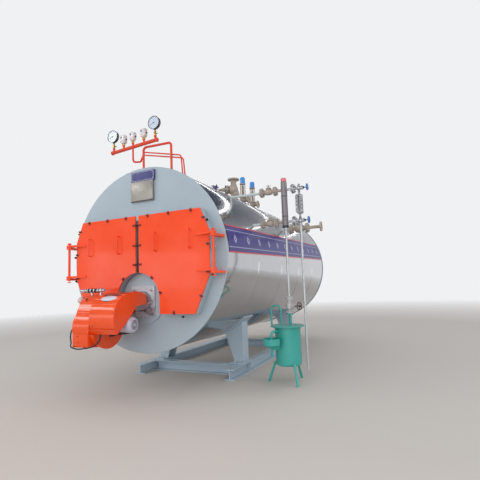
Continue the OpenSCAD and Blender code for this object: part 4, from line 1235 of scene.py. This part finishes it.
@dataclass
class BurnerHousing(SubAssembly):
    """The burner's sheet hood and fan casing, with rounded sheets where the CAD has flats.

    Side outlines are points of (out to the front, up). The scroll is its axis, out and up, and its
    radius, the rim its width and height, and the intake its radius and depth.
    """

    hood_left: float = -235
    hood_right: float = 90
    hood_top: tuple[Flat, ...] = (
        (84, -414), (148, -384), (205, -370), (262, -366), (315, -368), (367, -378), (420, -394),
        (467, -418), (508, -448), (541, -486), (564, -530), (577, -580), (580, -640), (570, -700),
        (541, -771),
    )
    hood_under: tuple[Flat, ...] = ((419, -677), (315, -578), (258, -518), (205, -510), (84, -505))
    cheek_thickness: float = 5
    cheek_overhang: float = 3
    lip: tuple[Flat, ...] = ((575, -722), (541, -771), (419, -677), (315, -578), (270, -531))
    lip_thickness: float = 5
    casing_left: float = -465
    casing_front: tuple[Flat, ...] = (
        (180, -470), (230, -412), (290, -388), (357, -392), (420, -416), (470, -460), (520, -560),
        (556, -680), (570, -780), (568, -905),
    )
    casing_foot: tuple[Flat, ...] = ((350, -920), (200, -800))
    rib_sides: Flat = (-255, -243)
    rib_height: float = 14
    rib_from: float = 300
    scroll: Point = (365, -715, 215)
    scroll_right: float = -175
    scroll_turn: Flat = (-16.5, -241)
    scroll_steps: int = 54
    scroll_mouth: tuple[Flat, ...] = ((315, -584), (419, -683), (541, -777))
    rim: Flat = (8, 12)
    intake: Flat = (112, 14)
    intake_sides: int = 48
    slats: int = 7
    slat_pitch: float = 28
    slat_height: float = 6
    gland_radius: float = 11
    glands: tuple[tuple[Point, Point, float], ...] = (
        ((-136, -520, -768), UP, 33), ((-460, -500, -712), LEFT, 17),
    )

    def build(self) -> None:
        """Makes the hood, the casing and the two cable glands."""
        hood, casing, glands = Bench(), Bench(), Bench()
        self._make_hood(hood)
        self._make_casing(casing)
        self._make_scroll(casing)
        for seat, way, length in self.glands:
            glands.rod(self.datum.at(*seat), way, self.gland_radius, length, soft=1)
        for bench, name, node in (
            (hood, "hood_shell", "burner_hood"),
            (casing, "fan_casing_shell", "burner_fan_casing"),
        ):
            piece = self.emit(bench, name, "burner_orange", Slot.BURNER)
            piece.modifiers.new("flats_stay_flat", "WEIGHTED_NORMAL").keep_sharp = True
            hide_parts(node)
        self.emit(glands, "cable_glands", "satin_black", Slot.RUBBER)

    def _sheet(self, bench: Bench, line: Sequence[Flat], left: float, right: float, soft: float) -> None:
        """Draws a side outline out from left to right."""
        outline = [self.datum.at(left, -out, up) for out, up in line]
        bench.prism(outline, Datum.shift(right - left), soft)

    def _make_hood(self, bench: Bench) -> None:
        """Makes the hood's body, its cheek on the right and the turned lip along its lower edge.

        Args:
            bench: the mesh that it goes into.
        """
        side = [*smooth_line(self.hood_top), *self.hood_under]
        inner = self.hood_right - self.cheek_thickness
        self._sheet(bench, side, self.hood_left, inner, 3)
        self._sheet(bench, beside(side, self.cheek_overhang, closed=True), inner, self.hood_right, 1.6)
        for edge in (self.lip[:2], self.lip[1:]):
            strip = [*edge, *reversed(beside(edge, self.lip_thickness))]
            self._sheet(bench, strip, self.hood_left, self.hood_right + self.lip_thickness, 1)

    def _make_casing(self, bench: Bench) -> None:
        """Makes the casing's tall front part with its rib, and the intake's slats.

        Args:
            bench: the mesh that it goes into.
        """
        radius, depth = self.intake
        front = [*smooth_line(self.casing_front), *self.casing_foot]
        self._sheet(bench, front, self.casing_left + depth, self.hood_left, 0)
        raised = [(out + self.rib_height if out > self.rib_from else out, up) for out, up in front]
        self._sheet(bench, raised, *self.rib_sides, 3)
        self._make_pierced(bench, front)
        for i in range(self.slats):
            up = self.scroll[1] + (i - self.slats // 2) * self.slat_pitch
            middle = self.datum.at(self.casing_left + depth / 2, -self.scroll[0], up)
            half = math.sqrt(radius ** 2 - (up - self.scroll[1]) ** 2) + 2
            bench.block(middle, (depth - 1, 2 * half, self.slat_height), 1)

    def _make_pierced(self, bench: Bench, outline: Sequence[Flat]) -> None:
        """Makes the casing's left wall, with the round intake through it.

        Args:
            bench: the mesh that it goes into.
            outline: the casing's outline, seen from its side.
        """
        radius, depth = self.intake
        sides = self.intake_sides
        ring = [self._on_scroll(math.tau * i / sides, radius) for i in range(sides)]
        edges = []
        for loop in (outline, ring):
            verts = [bench.bm.verts.new(self.datum.at(self.casing_left, -out, up)) for out, up in loop]
            edges += [bench.bm.edges.new(pair) for pair in zip(verts, [*verts[1:], verts[0]])]
        filled = bmesh.ops.triangle_fill(bench.bm, edges=edges, use_beauty=True)["geom"]
        faces = [f for f in filled if isinstance(f, bmesh.types.BMFace)]
        out = bmesh.ops.extrude_face_region(bench.bm, geom=faces)["geom"]
        far = [g for g in out if isinstance(g, bmesh.types.BMVert)]
        bmesh.ops.translate(bench.bm, vec=Datum.shift(depth), verts=far)

    def _on_scroll(self, angle: float, radius: float) -> Flat:
        """Gives a point round the scroll's axis, in the side view."""
        return self.scroll[0] + radius * math.cos(angle), self.scroll[1] + radius * math.sin(angle)

    def _make_scroll(self, bench: Bench) -> None:
        """Makes the round scroll: whole on the left, open under the hood on the right, with its rim.

        Args:
            bench: the mesh that it goes into.
        """
        middle = self.datum.at(self.casing_left, -self.scroll[0], self.scroll[1])
        radius, depth = self.intake
        outer, width = self.scroll[2], self.hood_left - self.casing_left
        bench.lathe(middle, RIGHT, [
            (0, depth - 2), (radius, depth - 2), (radius, 1), (outer - 3, 1), (outer, 4),
            (outer, width - 1), (0, width - 1),
        ], 72)
        start, end = (math.radians(a) for a in self.scroll_turn)
        thick, rise = self.rim
        for left, right, by in (
            (self.hood_left - 3, self.scroll_right - 1, 0),
            (self.scroll_right - thick, self.scroll_right, rise),
        ):
            arc = [
                self._on_scroll(start + (end - start) * i / self.scroll_steps, outer + by)
                for i in range(self.scroll_steps + 1)
            ]
            self._sheet(bench, [*arc, *self.scroll_mouth], left, right, 1.5)


@dataclass
class BurnerTrim(SubAssembly):
    """The burner's screws, badge panel, gas bar coil, sights, flange studs, gas and motor fittings."""

    badge_line: tuple[Flat, ...] = ((345, -373.3), (367, -378), (394, -386), (420, -394), (436, -402))
    badge_sides: Flat = (-186, 44)
    oval_seat: Point = (-72, -470, -425)
    oval_way: Point = (0, -0.548, 0.837)
    flange: Point = (10, -40, -475)
    slot_reach: Flat = (117, 125.5)
    slot_stud: BoltSize = BoltSize(24, 15, 16, washer=False)
    screws: tuple[tuple[float, float, float, float], ...] = (
        (70, 556, -514, 28), (72, 573, -565, 15), (51, 562, -720, -22), (-190, 573, -562, 15),
        (-190, 572, -692, -10), (-268, 522, -566, 17), (-404, 525, -576, 17), (-275, 562, -724, 8),
        (-396, 570, -794, -1), (-385, 569, -854, -1), (-300, 568, -898, -1), (-440, 568, -898, -1),
    )
    bar: Flat = (-350, -340)
    coil: Flat = (-466, -322)
    coil_turns: int = 7
    coil_steps: int = 14
    coil_radius: float = 19
    sight_seat: Point = (-394, -450, -431)
    sight_way: Point = (0, -0.66, 0.75)
    sight_ring: tuple[Flat, ...] = ((17, -3), (17, 5), (20, 7), (24, 5), (24, -3), (17, -3))
    cap_seat: Point = (-465, -450, -436)
    cap_outline: tuple[Flat, ...] = ((0, -2), (24, -2), (24, 14), (33, 16), (33, 28), (27, 33), (0, 35))
    union: Point = (80, -62, -493)
    gas_inlet: Point = (127, -40, -586)
    inlet_outline: tuple[Flat, ...] = (
        (0, 0), (30, 0), (30, 26), (24, 34), (24, 52), (32, 54), (32, 64), (0, 66),
    )
    motor_end: Point = (111, -315, -701)
    terminal_box: Point = (-40, -315, -610)

    def build(self) -> None:
        """Makes the burner's small pieces."""
        self._make_badge()
        self._make_screws()
        self._make_coil()
        self._make_sights()
        self._make_flange_studs()
        self._make_gas_connection()
        self._make_motor_fittings()

    def _make_badge(self) -> None:
        """Makes the dark panel that follows the hood's top, with an empty oval on it."""
        left, right = self.badge_sides
        lower = [self.datum.at(left, -out, up) for out, up in self.badge_line]
        upper = [self.datum.at(left, -out - 1.2, up + 2.2) for out, up in self.badge_line]
        panel, oval, rim = Bench(), Bench(), Bench()
        for (near, far), (near_top, far_top) in zip(pairwise(lower), pairwise(upper)):
            panel.prism([near, far, far_top, near_top], Datum.shift(right - left))
        seat = self.datum.at(*self.oval_seat)
        rim.button(seat, self.oval_way, 116, 6, 0.44)
        oval.button(seat + Vector(self.oval_way) * 2 * MM, self.oval_way, 106, 6.5, 0.41)
        self.emit(panel, "badge_panel", "panel_dark", Slot.BURNER)
        self.emit(rim, "badge_rim", "panel_dark", Slot.BURNER)
        self.emit(oval, "badge_oval", "mark_pale", Slot.BRIGHT)

    def _make_screws(self) -> None:
        """Makes the screws down the fronts of hood and casing, each with its tilt in degrees."""
        screws = Bench()
        for x, out, up, tilt in self.screws:
            lean = math.radians(tilt)
            way = (0, -math.cos(lean), math.sin(lean))
            screws.button(self.datum.at(x, -out, up), way, 7.5, 4.5)
        self.emit(screws, "burner_screws", "clip_red", Slot.BURNER)

    def _make_coil(self) -> None:
        """Makes the dark coil round the middle of the gas bar."""
        coil = Bench()
        back, up = self.bar
        left, right = self.coil
        count = self.coil_turns * self.coil_steps
        path = []
        for i in range(count + 1):
            angle = math.tau * i / self.coil_steps
            across, rise = self.coil_radius * math.cos(angle), self.coil_radius * math.sin(angle)
            path.append(self.datum.at(left + (right - left) * i / count, back + across, up + rise))
        coil.tube(path, 5, 8)
        self.emit(coil, "gas_bar_coil", "dark_bolt", Slot.BRIGHT)

    def _make_sights(self) -> None:
        """Makes the sight hole on the casing and the white cap on its left side."""
        ring, hole, cap = Bench(), Bench(), Bench()
        seat = self.datum.at(*self.sight_seat)
        ring.lathe(seat, self.sight_way, self.sight_ring)
        hole.rod(seat, self.sight_way, 17.5, 3)
        cap.lathe(self.datum.at(*self.cap_seat), LEFT, self.cap_outline)
        self.emit(ring, "sight_ring", "burner_orange", Slot.BURNER)
        self.emit(hole, "sight_glass", "glass_dark", Slot.BURNER)
        self.emit(cap, "ignition_cap", "switch_cream", Slot.SWITCH)

    def _make_flange_studs(self) -> None:
        """Makes the four studs in the burner flange's slots."""
        studs = Bench()
        x, y, z = self.flange
        right, up = self.slot_reach
        for side in (-1, 1):
            for rise in (-1, 1):
                seat = self.datum.at(x + side * right, y, z + rise * up)
                studs.rod(seat, FRONT, 19, 3, sides=28, soft=0.8)
                studs.bolt(seat + Datum.shift(back=-3), FRONT, self.slot_stud)
        self.emit(studs, "burner_flange_studs", "bright_zinc", Slot.BRIGHT)

    def _make_gas_connection(self) -> None:
        """Makes the bright union and the cast fitting beside the neck."""
        union, cast = Bench(), Bench()
        middle = self.datum.at(*self.union)
        union.rod(middle, RIGHT, 9, 62)
        union.rod(middle + Datum.shift(12), RIGHT, 17, 18, sides=6, soft=1)
        union.rod(middle + Datum.shift(40), RIGHT, 14, 14, sides=6, soft=1)
        cast.block(middle + Datum.shift(52, 0, 24), (60, 12, 9), 2)
        cast.rod(middle + Datum.shift(52), UP, 7, 24, sides=20)
        foot = self.datum.at(*self.gas_inlet)
        cast.block(foot + Datum.shift(back=-5), (74, 10, 92), 3)
        cast.lathe(foot, FRONT, self.inlet_outline)
        cast.rod(foot + Datum.shift(-60, -40), RIGHT, 18, 60, sides=28, soft=2)
        union.ring_of_bolts(foot + Datum.shift(back=-10), FRONT, 46, 4, BoltSize(13, 7, 4), start=0.55)
        self.emit(union, "gas_union", "bright_zinc", Slot.BRIGHT)
        self.emit(cast, "gas_fitting", "cast_aluminium", Slot.ALUMINIUM)

    def _make_motor_fittings(self) -> None:
        """Makes the grille and screws on the motor's end, and its terminal box."""
        screws, box, grille = Bench(), Bench(), Bench()
        end = self.datum.at(*self.motor_end)
        grille.rod(end, RIGHT, 47, 2, sides=48)
        screws.ring_of_bolts(end, RIGHT, 72, 4, BoltSize(9, 5, 0, washer=False))
        box.block(self.datum.at(*self.terminal_box), (70, 62, 20), 3)
        self.emit(screws, "motor_screws", "bright_zinc", Slot.BRIGHT)
        self.emit(box, "motor_box", "satin_black", Slot.BRACKET)
        self.emit(grille, "motor_grille", "dark_bolt", Slot.MOTOR)


@dataclass
class CladdingTrim(SubAssembly):
    """Rivets along the cladding's lap seams, and the printed band on its right side."""

    radius: float = 1042
    seams: tuple[float, ...] = (917, 1822, 2727, 3632)
    rivets: int = 72
    rivet: Flat = (4, 1.8)
    off_line: float = 13
    band_radius: float = 1043.4
    band_thickness: float = 0.6
    front: float = 62
    rear: float = 4475
    low: Flat = (5, 130)
    high: Flat = (305, 440)
    steps: tuple[int, int] = (24, 10)

    def build(self) -> None:
        """Makes both."""
        self._make_rivets()
        self._make_band()

    def _make_rivets(self) -> None:
        """Makes a row of low heads round each seam."""
        heads = Bench()
        for back in self.seams:
            for i in range(self.rivets):
                angle = math.tau * (i + 0.5) / self.rivets
                out = (math.cos(angle), 0, math.sin(angle))
                seat = self.datum.at(self.radius * out[0], back - self.off_line, self.radius * out[2])
                heads.button(seat, out, *self.rivet)
        self.emit(heads, "cladding_rivets", "bright_zinc", Slot.CLADDING)

    def _make_band(self) -> None:
        """Bends a grid round the cladding and gives it a UV map along and across."""
        bench = Bench()
        bmesh.ops.create_grid(bench.bm, x_segments=self.steps[0], y_segments=self.steps[1], size=1)
        uv = bench.bm.loops.layers.uv.new("band")
        for face in bench.bm.faces:
            for loop in face.loops:
                along, across = (loop.vert.co.x + 1) / 2, (loop.vert.co.y + 1) / 2
                loop[uv].uv = (along * (self.rear - self.front) * MM, across)
        for vert in bench.bm.verts:
            along, across = (vert.co.x + 1) / 2, (vert.co.y + 1) / 2
            low = self.low[0] + (self.low[1] - self.low[0]) * along
            high = self.high[0] + (self.high[1] - self.high[0]) * along
            up = low + (high - low) * across
            back = self.front + (self.rear - self.front) * along
            vert.co = self.datum.at(math.sqrt(self.band_radius ** 2 - up ** 2), back, up)
        piece = self.emit(bench, "cladding_band", "band_print", Slot.ENAMEL)
        thick = piece.modifiers.new("thickness", "SOLIDIFY")
        thick.thickness = self.band_thickness * MM
        thick.offset = -1


@dataclass
class HeaderTrim(SubAssembly):
    """Faces of the two pressure gauges, details of the three switches, and the header's ends."""

    header: tuple[Point, Point] = ((-643, 200, 1403), (132, 100, 1399))
    gauges: tuple[float, ...] = (0.04, 0.96)
    switches: tuple[float, ...] = (0.27, 0.48, 0.72)
    rise: float = 205
    recess: float = -26
    dial_radius: float = 74
    zero_angle: float = 225
    full_turn: float = 270
    ticks: int = 40
    long_every: int = 8
    long_tick: Flat = (11, 2.2)
    short_tick: Flat = (6, 1.1)
    pointer_angle: float = 205
    pointer_size: Point = (62, 1, 3.6)
    switch_face: float = -31

    def build(self) -> None:
        """Makes the dials, then the switches' details, then the end caps."""
        start, end = (Vector(p) for p in self.header)
        dial, marks, pointer = Bench(), Bench(), Bench()
        for share in self.gauges:
            foot = start.lerp(end, share)
            middle = self.datum.at(foot.x, foot.y + self.recess, foot.z + self.rise)
            self._make_dial(middle, dial, marks, pointer)
        self.emit(dial, "gauge_faces", "dial_white", Slot.GAUGE_CASE)
        self.emit(marks, "gauge_marks", "mark_black", Slot.GAUGE_CASE)
        self.emit(pointer, "gauge_pointers", "mark_black", Slot.GAUGE_CASE)
        windows, unions, plates = Bench(), Bench(), Bench()
        for share in self.switches:
            self._make_switch(self.datum.at(*start.lerp(end, share)), windows, unions, plates)
        self.emit(windows, "switch_windows", "mark_black", Slot.SWITCH)
        self.emit(unions, "switch_unions", "brass", Slot.BRASS)
        self.emit(plates, "switch_plates", "dial_white", Slot.SWITCH)
        caps = Bench()
        way = (end - start).normalized()
        for foot, out in ((start, way), (end, -way)):
            caps.rod(self.datum.at(*foot) - out * 3 * MM, tuple(out), 26, 20, sides=32, soft=3)
        self.emit(caps, "header_ends", "pipe_red", Slot.PIPE)

    def _make_dial(self, middle: Vector, dial: Bench, marks: Bench, pointer: Bench) -> None:
        """Adds one gauge's face, its scale of plain strokes and its pointer.

        Args:
            middle: the middle of the gauge's face.
            dial: the mesh of the faces.
            marks: the mesh of the strokes.
            pointer: the mesh of the pointers.
        """
        dial.rod(middle, FRONT, self.dial_radius, 1.5, sides=64)
        for i in range(self.ticks + 1):
            long, wide = self.short_tick if i % self.long_every else self.long_tick
            way, turn = self._hand(self.zero_angle - i * self.full_turn / self.ticks)
            reach = self.dial_radius - 5 - long / 2
            stroke = middle + way * reach * MM + Datum.shift(back=-1.6)
            marks.block(stroke, (long, 0.5, wide), turn=turn)
        way, turn = self._hand(self.pointer_angle)
        pointer.block(middle + way * 20 * MM + Datum.shift(back=-3), self.pointer_size, turn=turn)
        pointer.rod(middle, FRONT, 6, 4, sides=20)

    @staticmethod
    def _hand(degrees: float) -> tuple[Vector, Matrix]:
        """Gives the way that a hand of a dial points, and the turn of a block along it."""
        angle = math.radians(degrees)
        return Vector((math.cos(angle), 0, math.sin(angle))), Matrix.Rotation(-angle, 4, "Y")

    def _make_switch(self, foot: Vector, windows: Bench, unions: Bench, plates: Bench) -> None:
        """Adds one switch's window, cable gland, scale plate, screws and union.

        Args:
            foot: where the switch stands on the header's axis.
            windows: the mesh of the windows, glands and screws.
            unions: the mesh of the unions.
            plates: the mesh of the scale plates.
        """
        windows.block(foot + Datum.shift(-16, self.switch_face, 152), (17, 2, 24), 1)
        windows.rod(foot + Datum.shift(36, 0, 128), RIGHT, 9, 14, sides=6, soft=1)
        for right in (-26, 26):
            for back in (-21, 21):
                windows.button(foot + Datum.shift(right, back, 180), UP, 3.5, 1.5)
        plates.block(foot + Datum.shift(10, self.switch_face, 140), (24, 1.2, 40))
        unions.rod(foot + Datum.shift(up=52), UP, 19, 14, sides=6, soft=1)
        unions.rod(foot + Datum.shift(up=66), UP, 15.5, 10)


@dataclass
class FlangeBolts(SubAssembly):
    """Bolts through the flange pairs of the steam, safety, feed, level and vessel pipes."""

    small: BoltSize = BoltSize(19, 9, 5, washer=False)
    large: BoltSize = BoltSize(24, 13, 8, washer=False)
    level_back: float = 957
    level_heights: Flat = (805, 408)
    level_flanges: tuple[float, ...] = (1090, 1266, 1496)
    feed_back: float = 2244
    feed_height: float = 505
    feed_flanges: Flat = (1072, 1327)
    feed_riser: Flat = (1200, 583)
    steam: Flat = (2468, 1040)
    bonnet: Point = (-0.857493, -0.514496, 0)
    bonnet_height: float = 293.5
    bonnet_reach: float = 122
    safety_backs: Flat = (2870, 3336)
    vessel_x: float = 1380
    vessel_flanges: tuple[Point, ...] = ((-688, 36, 14), (-515, 40, 15))

    def build(self) -> None:
        """Makes the bolts flange by flange."""
        bolts, dark = Bench(), Bench()
        for up in self.level_heights:
            for x in self.level_flanges:
                self._pair(bolts, self.datum.at(x, self.level_back, up), RIGHT, 44, 4, 14, self.small)
        for x in self.feed_flanges:
            middle = self.datum.at(x, self.feed_back, self.feed_height)
            self._pair(bolts, middle, RIGHT, 56, 4, 18, self.small)
        x, up = self.feed_riser
        riser = BoltSize(13, 7, 3, washer=False)
        self._pair(bolts, self.datum.at(x, self.feed_back, up), UP, 47, 6, 14, riser)
        back, foot = self.steam
        self._pair(dark, self.datum.at(0, back, foot + 80), UP, 82, 8, 22, self.large)
        bonnet = self.datum.at(0, back, foot + self.bonnet_height)
        yoke = bonnet + Vector(self.bonnet) * self.bonnet_reach * MM
        self._pair(dark, yoke, self.bonnet, 67, 8, 18, self.small)
        cap = BoltSize(11, 6, 2, washer=False)
        for back in self.safety_backs:
            self._pair(dark, self.datum.at(0, back, foot + 86), UP, 61, 4, 20, self.small)
            dark.ring_of_bolts(self.datum.at(0, back, foot + 236), UP, 54, 6, cap)
        vessel = BoltSize(13, 7, 5, washer=False)
        for up, reach, out in self.vessel_flanges:
            middle = self.datum.at(self.vessel_x, self.level_back, up)
            self._pair(bolts, middle, UP, reach, 4, out, vessel)
        self.emit(bolts, "flange_bolts", "bright_zinc", Slot.BRIGHT)
        self.emit(dark, "top_flange_bolts", "dark_bolt", Slot.BRIGHT)

    @staticmethod
    def _pair(
        bench: Bench, middle: Vector, axis: Point, radius: float, count: int, out: float, size: BoltSize,
    ) -> None:
        """Adds nuts on both faces of a flange pair.

        Args:
            bench: the mesh that they go into.
            middle: halfway between the faces, on the pipe's axis.
            axis: the pipe's direction.
            radius: the bolt circle's radius.
            count: how many bolts.
            out: how far each face lies from the middle.
            size: the nuts' sizes.
        """
        for sign in (-1, 1):
            way = tuple(sign * c for c in axis)
            bench.ring_of_bolts(middle, way, radius, count, size, out)


@dataclass
class LevelTrim(SubAssembly):
    """Glass and cover bolts of the level gauge, its packings, valve handles and the column's bands."""

    back: float = 957
    heights: Flat = (805, 408)
    gauge_x: float = 1568
    bolt_rows: tuple[float, ...] = (523, 567, 611, 655, 699)
    bolt_reach: float = 31
    cover_bolt: BoltSize = BoltSize(17, 9, 6, washer=False)
    glass_height: float = 611
    packing: tuple[Flat, ...] = ((6.5, 0), (13, 0), (15, 3), (15, 9), (12, 13), (6.5, 13), (6.5, 0))
    handle_x: float = 1180
    column_x: float = 1380
    column_radius: float = 38.8
    bands: tuple[Flat, ...] = ((336, 26), (470, 9), (720, 9))

    def build(self) -> None:
        """Makes the gauge's glass, bolts and packings, then the column's bands and the handles."""
        bolts, glass, packing, bands, handles = Bench(), Bench(), Bench(), Bench(), Bench()
        for z in self.bolt_rows:
            for side in (-1, 1):
                seat = self.datum.at(self.gauge_x + side * self.bolt_reach, self.back - 30, z)
                bolts.bolt(seat, FRONT, self.cover_bolt)
        glass.block(self.datum.at(self.gauge_x, self.back - 19.5, self.glass_height), (15.4, 2, 186))
        for z in self.heights:
            packing.lathe(self.datum.at(self.gauge_x + 52, self.back, z), RIGHT, self.packing)
            handles.block(self.datum.at(self.handle_x, self.back, z + 84), (66, 11, 7), 2)
            handles.rod(self.datum.at(self.handle_x, self.back, z + 78), UP, 9, 14, sides=6, soft=1)
        for z, height in self.bands:
            foot = self.datum.at(self.column_x, self.back, z)
            bands.rod(foot, UP, self.column_radius, height, sides=64, soft=1)
        self.emit(bolts, "gauge_cover_bolts", "bright_zinc", Slot.BRIGHT)
        self.emit(glass, "gauge_window", "glass_dark", Slot.BRIGHT)
        self.emit(packing, "gauge_packings", "satin_black", Slot.BRACKET)
        self.emit(bands, "column_bands", "satin_black", Slot.COLUMN)
        self.emit(handles, "isolating_handles", "cast_pale", Slot.CAST_IRON)


@dataclass
class SteamTrim(SubAssembly):
    """Nuts on the handwheels' stems."""

    nut: BoltSize = BoltSize(17, 8, 4)
    steam_hub: Point = (-257.25, 2313.65, 1333.5)
    steam_way: Point = (-0.857493, -0.514496, 0)
    vessel_hub: Point = (1511.65, 909.4, -607)
    vessel_way: Point = (0.940391, -0.340095, 0)

    def build(self) -> None:
        """Makes each wheel's nut, on the wheel's own body."""
        for name, hub, way, lift, body in (
            ("steam_wheel_nut", self.steam_hub, self.steam_way, 12, Body.STEAM_WHEEL),
            ("vessel_wheel_nut", self.vessel_hub, self.vessel_way, 8.4, Body.SAMPLING_WHEEL),
        ):
            nut = Bench()
            nut.bolt(self.datum.at(*hub) + Vector(way) * lift * MM, way, self.nut)
            self.emit(nut, name, "dark_bolt", Slot.BRIGHT, body)


@dataclass
class BaseTrim(SubAssembly):
    """Weld beads where the legs and cross beams meet the rails, and bolts through the foot plates."""

    foot_top: float = -1329
    saddles: Flat = (1165, 3280)
    depth: float = 182
    inner: float = 530
    outer: float = 652
    bead_radius: float = 5
    bead_length: float = 120
    bolt_rows: Flat = (560, 640)
    bolt_back: float = -66
    foot_bolt: BoltSize = BoltSize(24, 13, 9)

    def build(self) -> None:
        """Makes the beads and the bolts of both saddles."""
        beads, bolts = Bench(), Bench()
        for back in self.saddles:
            for side in (-1, 1):
                for y in (back, back + self.depth):
                    start = self.datum.at(side * self.inner, y, self.foot_top)
                    beads.rod(start, (side, 0, 0), self.bead_radius, self.bead_length, sides=10)
                start = self.datum.at(side * self.outer, back, self.foot_top)
                beads.rod(start, REAR, self.bead_radius, self.depth, sides=10)
                for x in self.bolt_rows:
                    seat = self.datum.at(side * x, back + self.bolt_back, self.foot_top)
                    bolts.bolt(seat, UP, self.foot_bolt)
        self.emit(beads, "foot_welds", "base_grey", Slot.BASE)
        self.emit(bolts, "foot_bolts", "bright_zinc", Slot.BRIGHT)


@dataclass
class RearTrim(SubAssembly):
    """Bolts and lifting handles of the rear access cover."""

    face: float = 4565
    hub_face: float = 4579
    height: float = -450
    bolt_circle: float = 290
    bolts: int = 16
    bolt: BoltSize = BoltSize(24, 13, 9)
    handles: Flat = (-150, 150)
    grip: tuple[Flat, ...] = (
        (-2, -70), (18, -70), (32, -62), (36, -48), (36, 48), (32, 62), (18, 70), (-2, 70),
    )
    grip_radius: float = 8

    def build(self) -> None:
        """Makes the cover's bolts and its two handles."""
        bolts, handles = Bench(), Bench()
        middle = self.datum.at(0, self.face, self.height)
        bolts.ring_of_bolts(middle, REAR, self.bolt_circle, self.bolts, self.bolt)
        for x in self.handles:
            path = [self.datum.at(x, self.hub_face + out, self.height + up) for out, up in self.grip]
            handles.tube(path, self.grip_radius, 14)
        self.emit(bolts, "access_cover_bolts", "bright_zinc", Slot.BRIGHT)
        self.emit(handles, "access_cover_handles", "plate_grey", Slot.PLATE)


def setup_log() -> None:
    """Sends the script's messages to the output."""
    logging.basicConfig(level=logging.INFO, format="%(name)s: %(message)s")


def main() -> None:
    """Builds the scene round the frame, group by group."""
    setup_log()
    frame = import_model()
    datum = Datum.from_frame()
    finish = Finish()
    Shot().make(datum)
    Cable(datum, finish).build()
    Studio().make()
    finish.dress(frame)
    groups: tuple[Callable[..., SubAssembly], ...] = (
        DoorFittings, Nameplates, BurnerHousing, BurnerTrim, CladdingTrim, HeaderTrim, FlangeBolts,
        LevelTrim, SteamTrim, BaseTrim, RearTrim,
    )
    for group in groups:
        LOG.info("building %s", group.__name__)
        group(datum, finish).build()


if __name__ == "__main__":
    main()
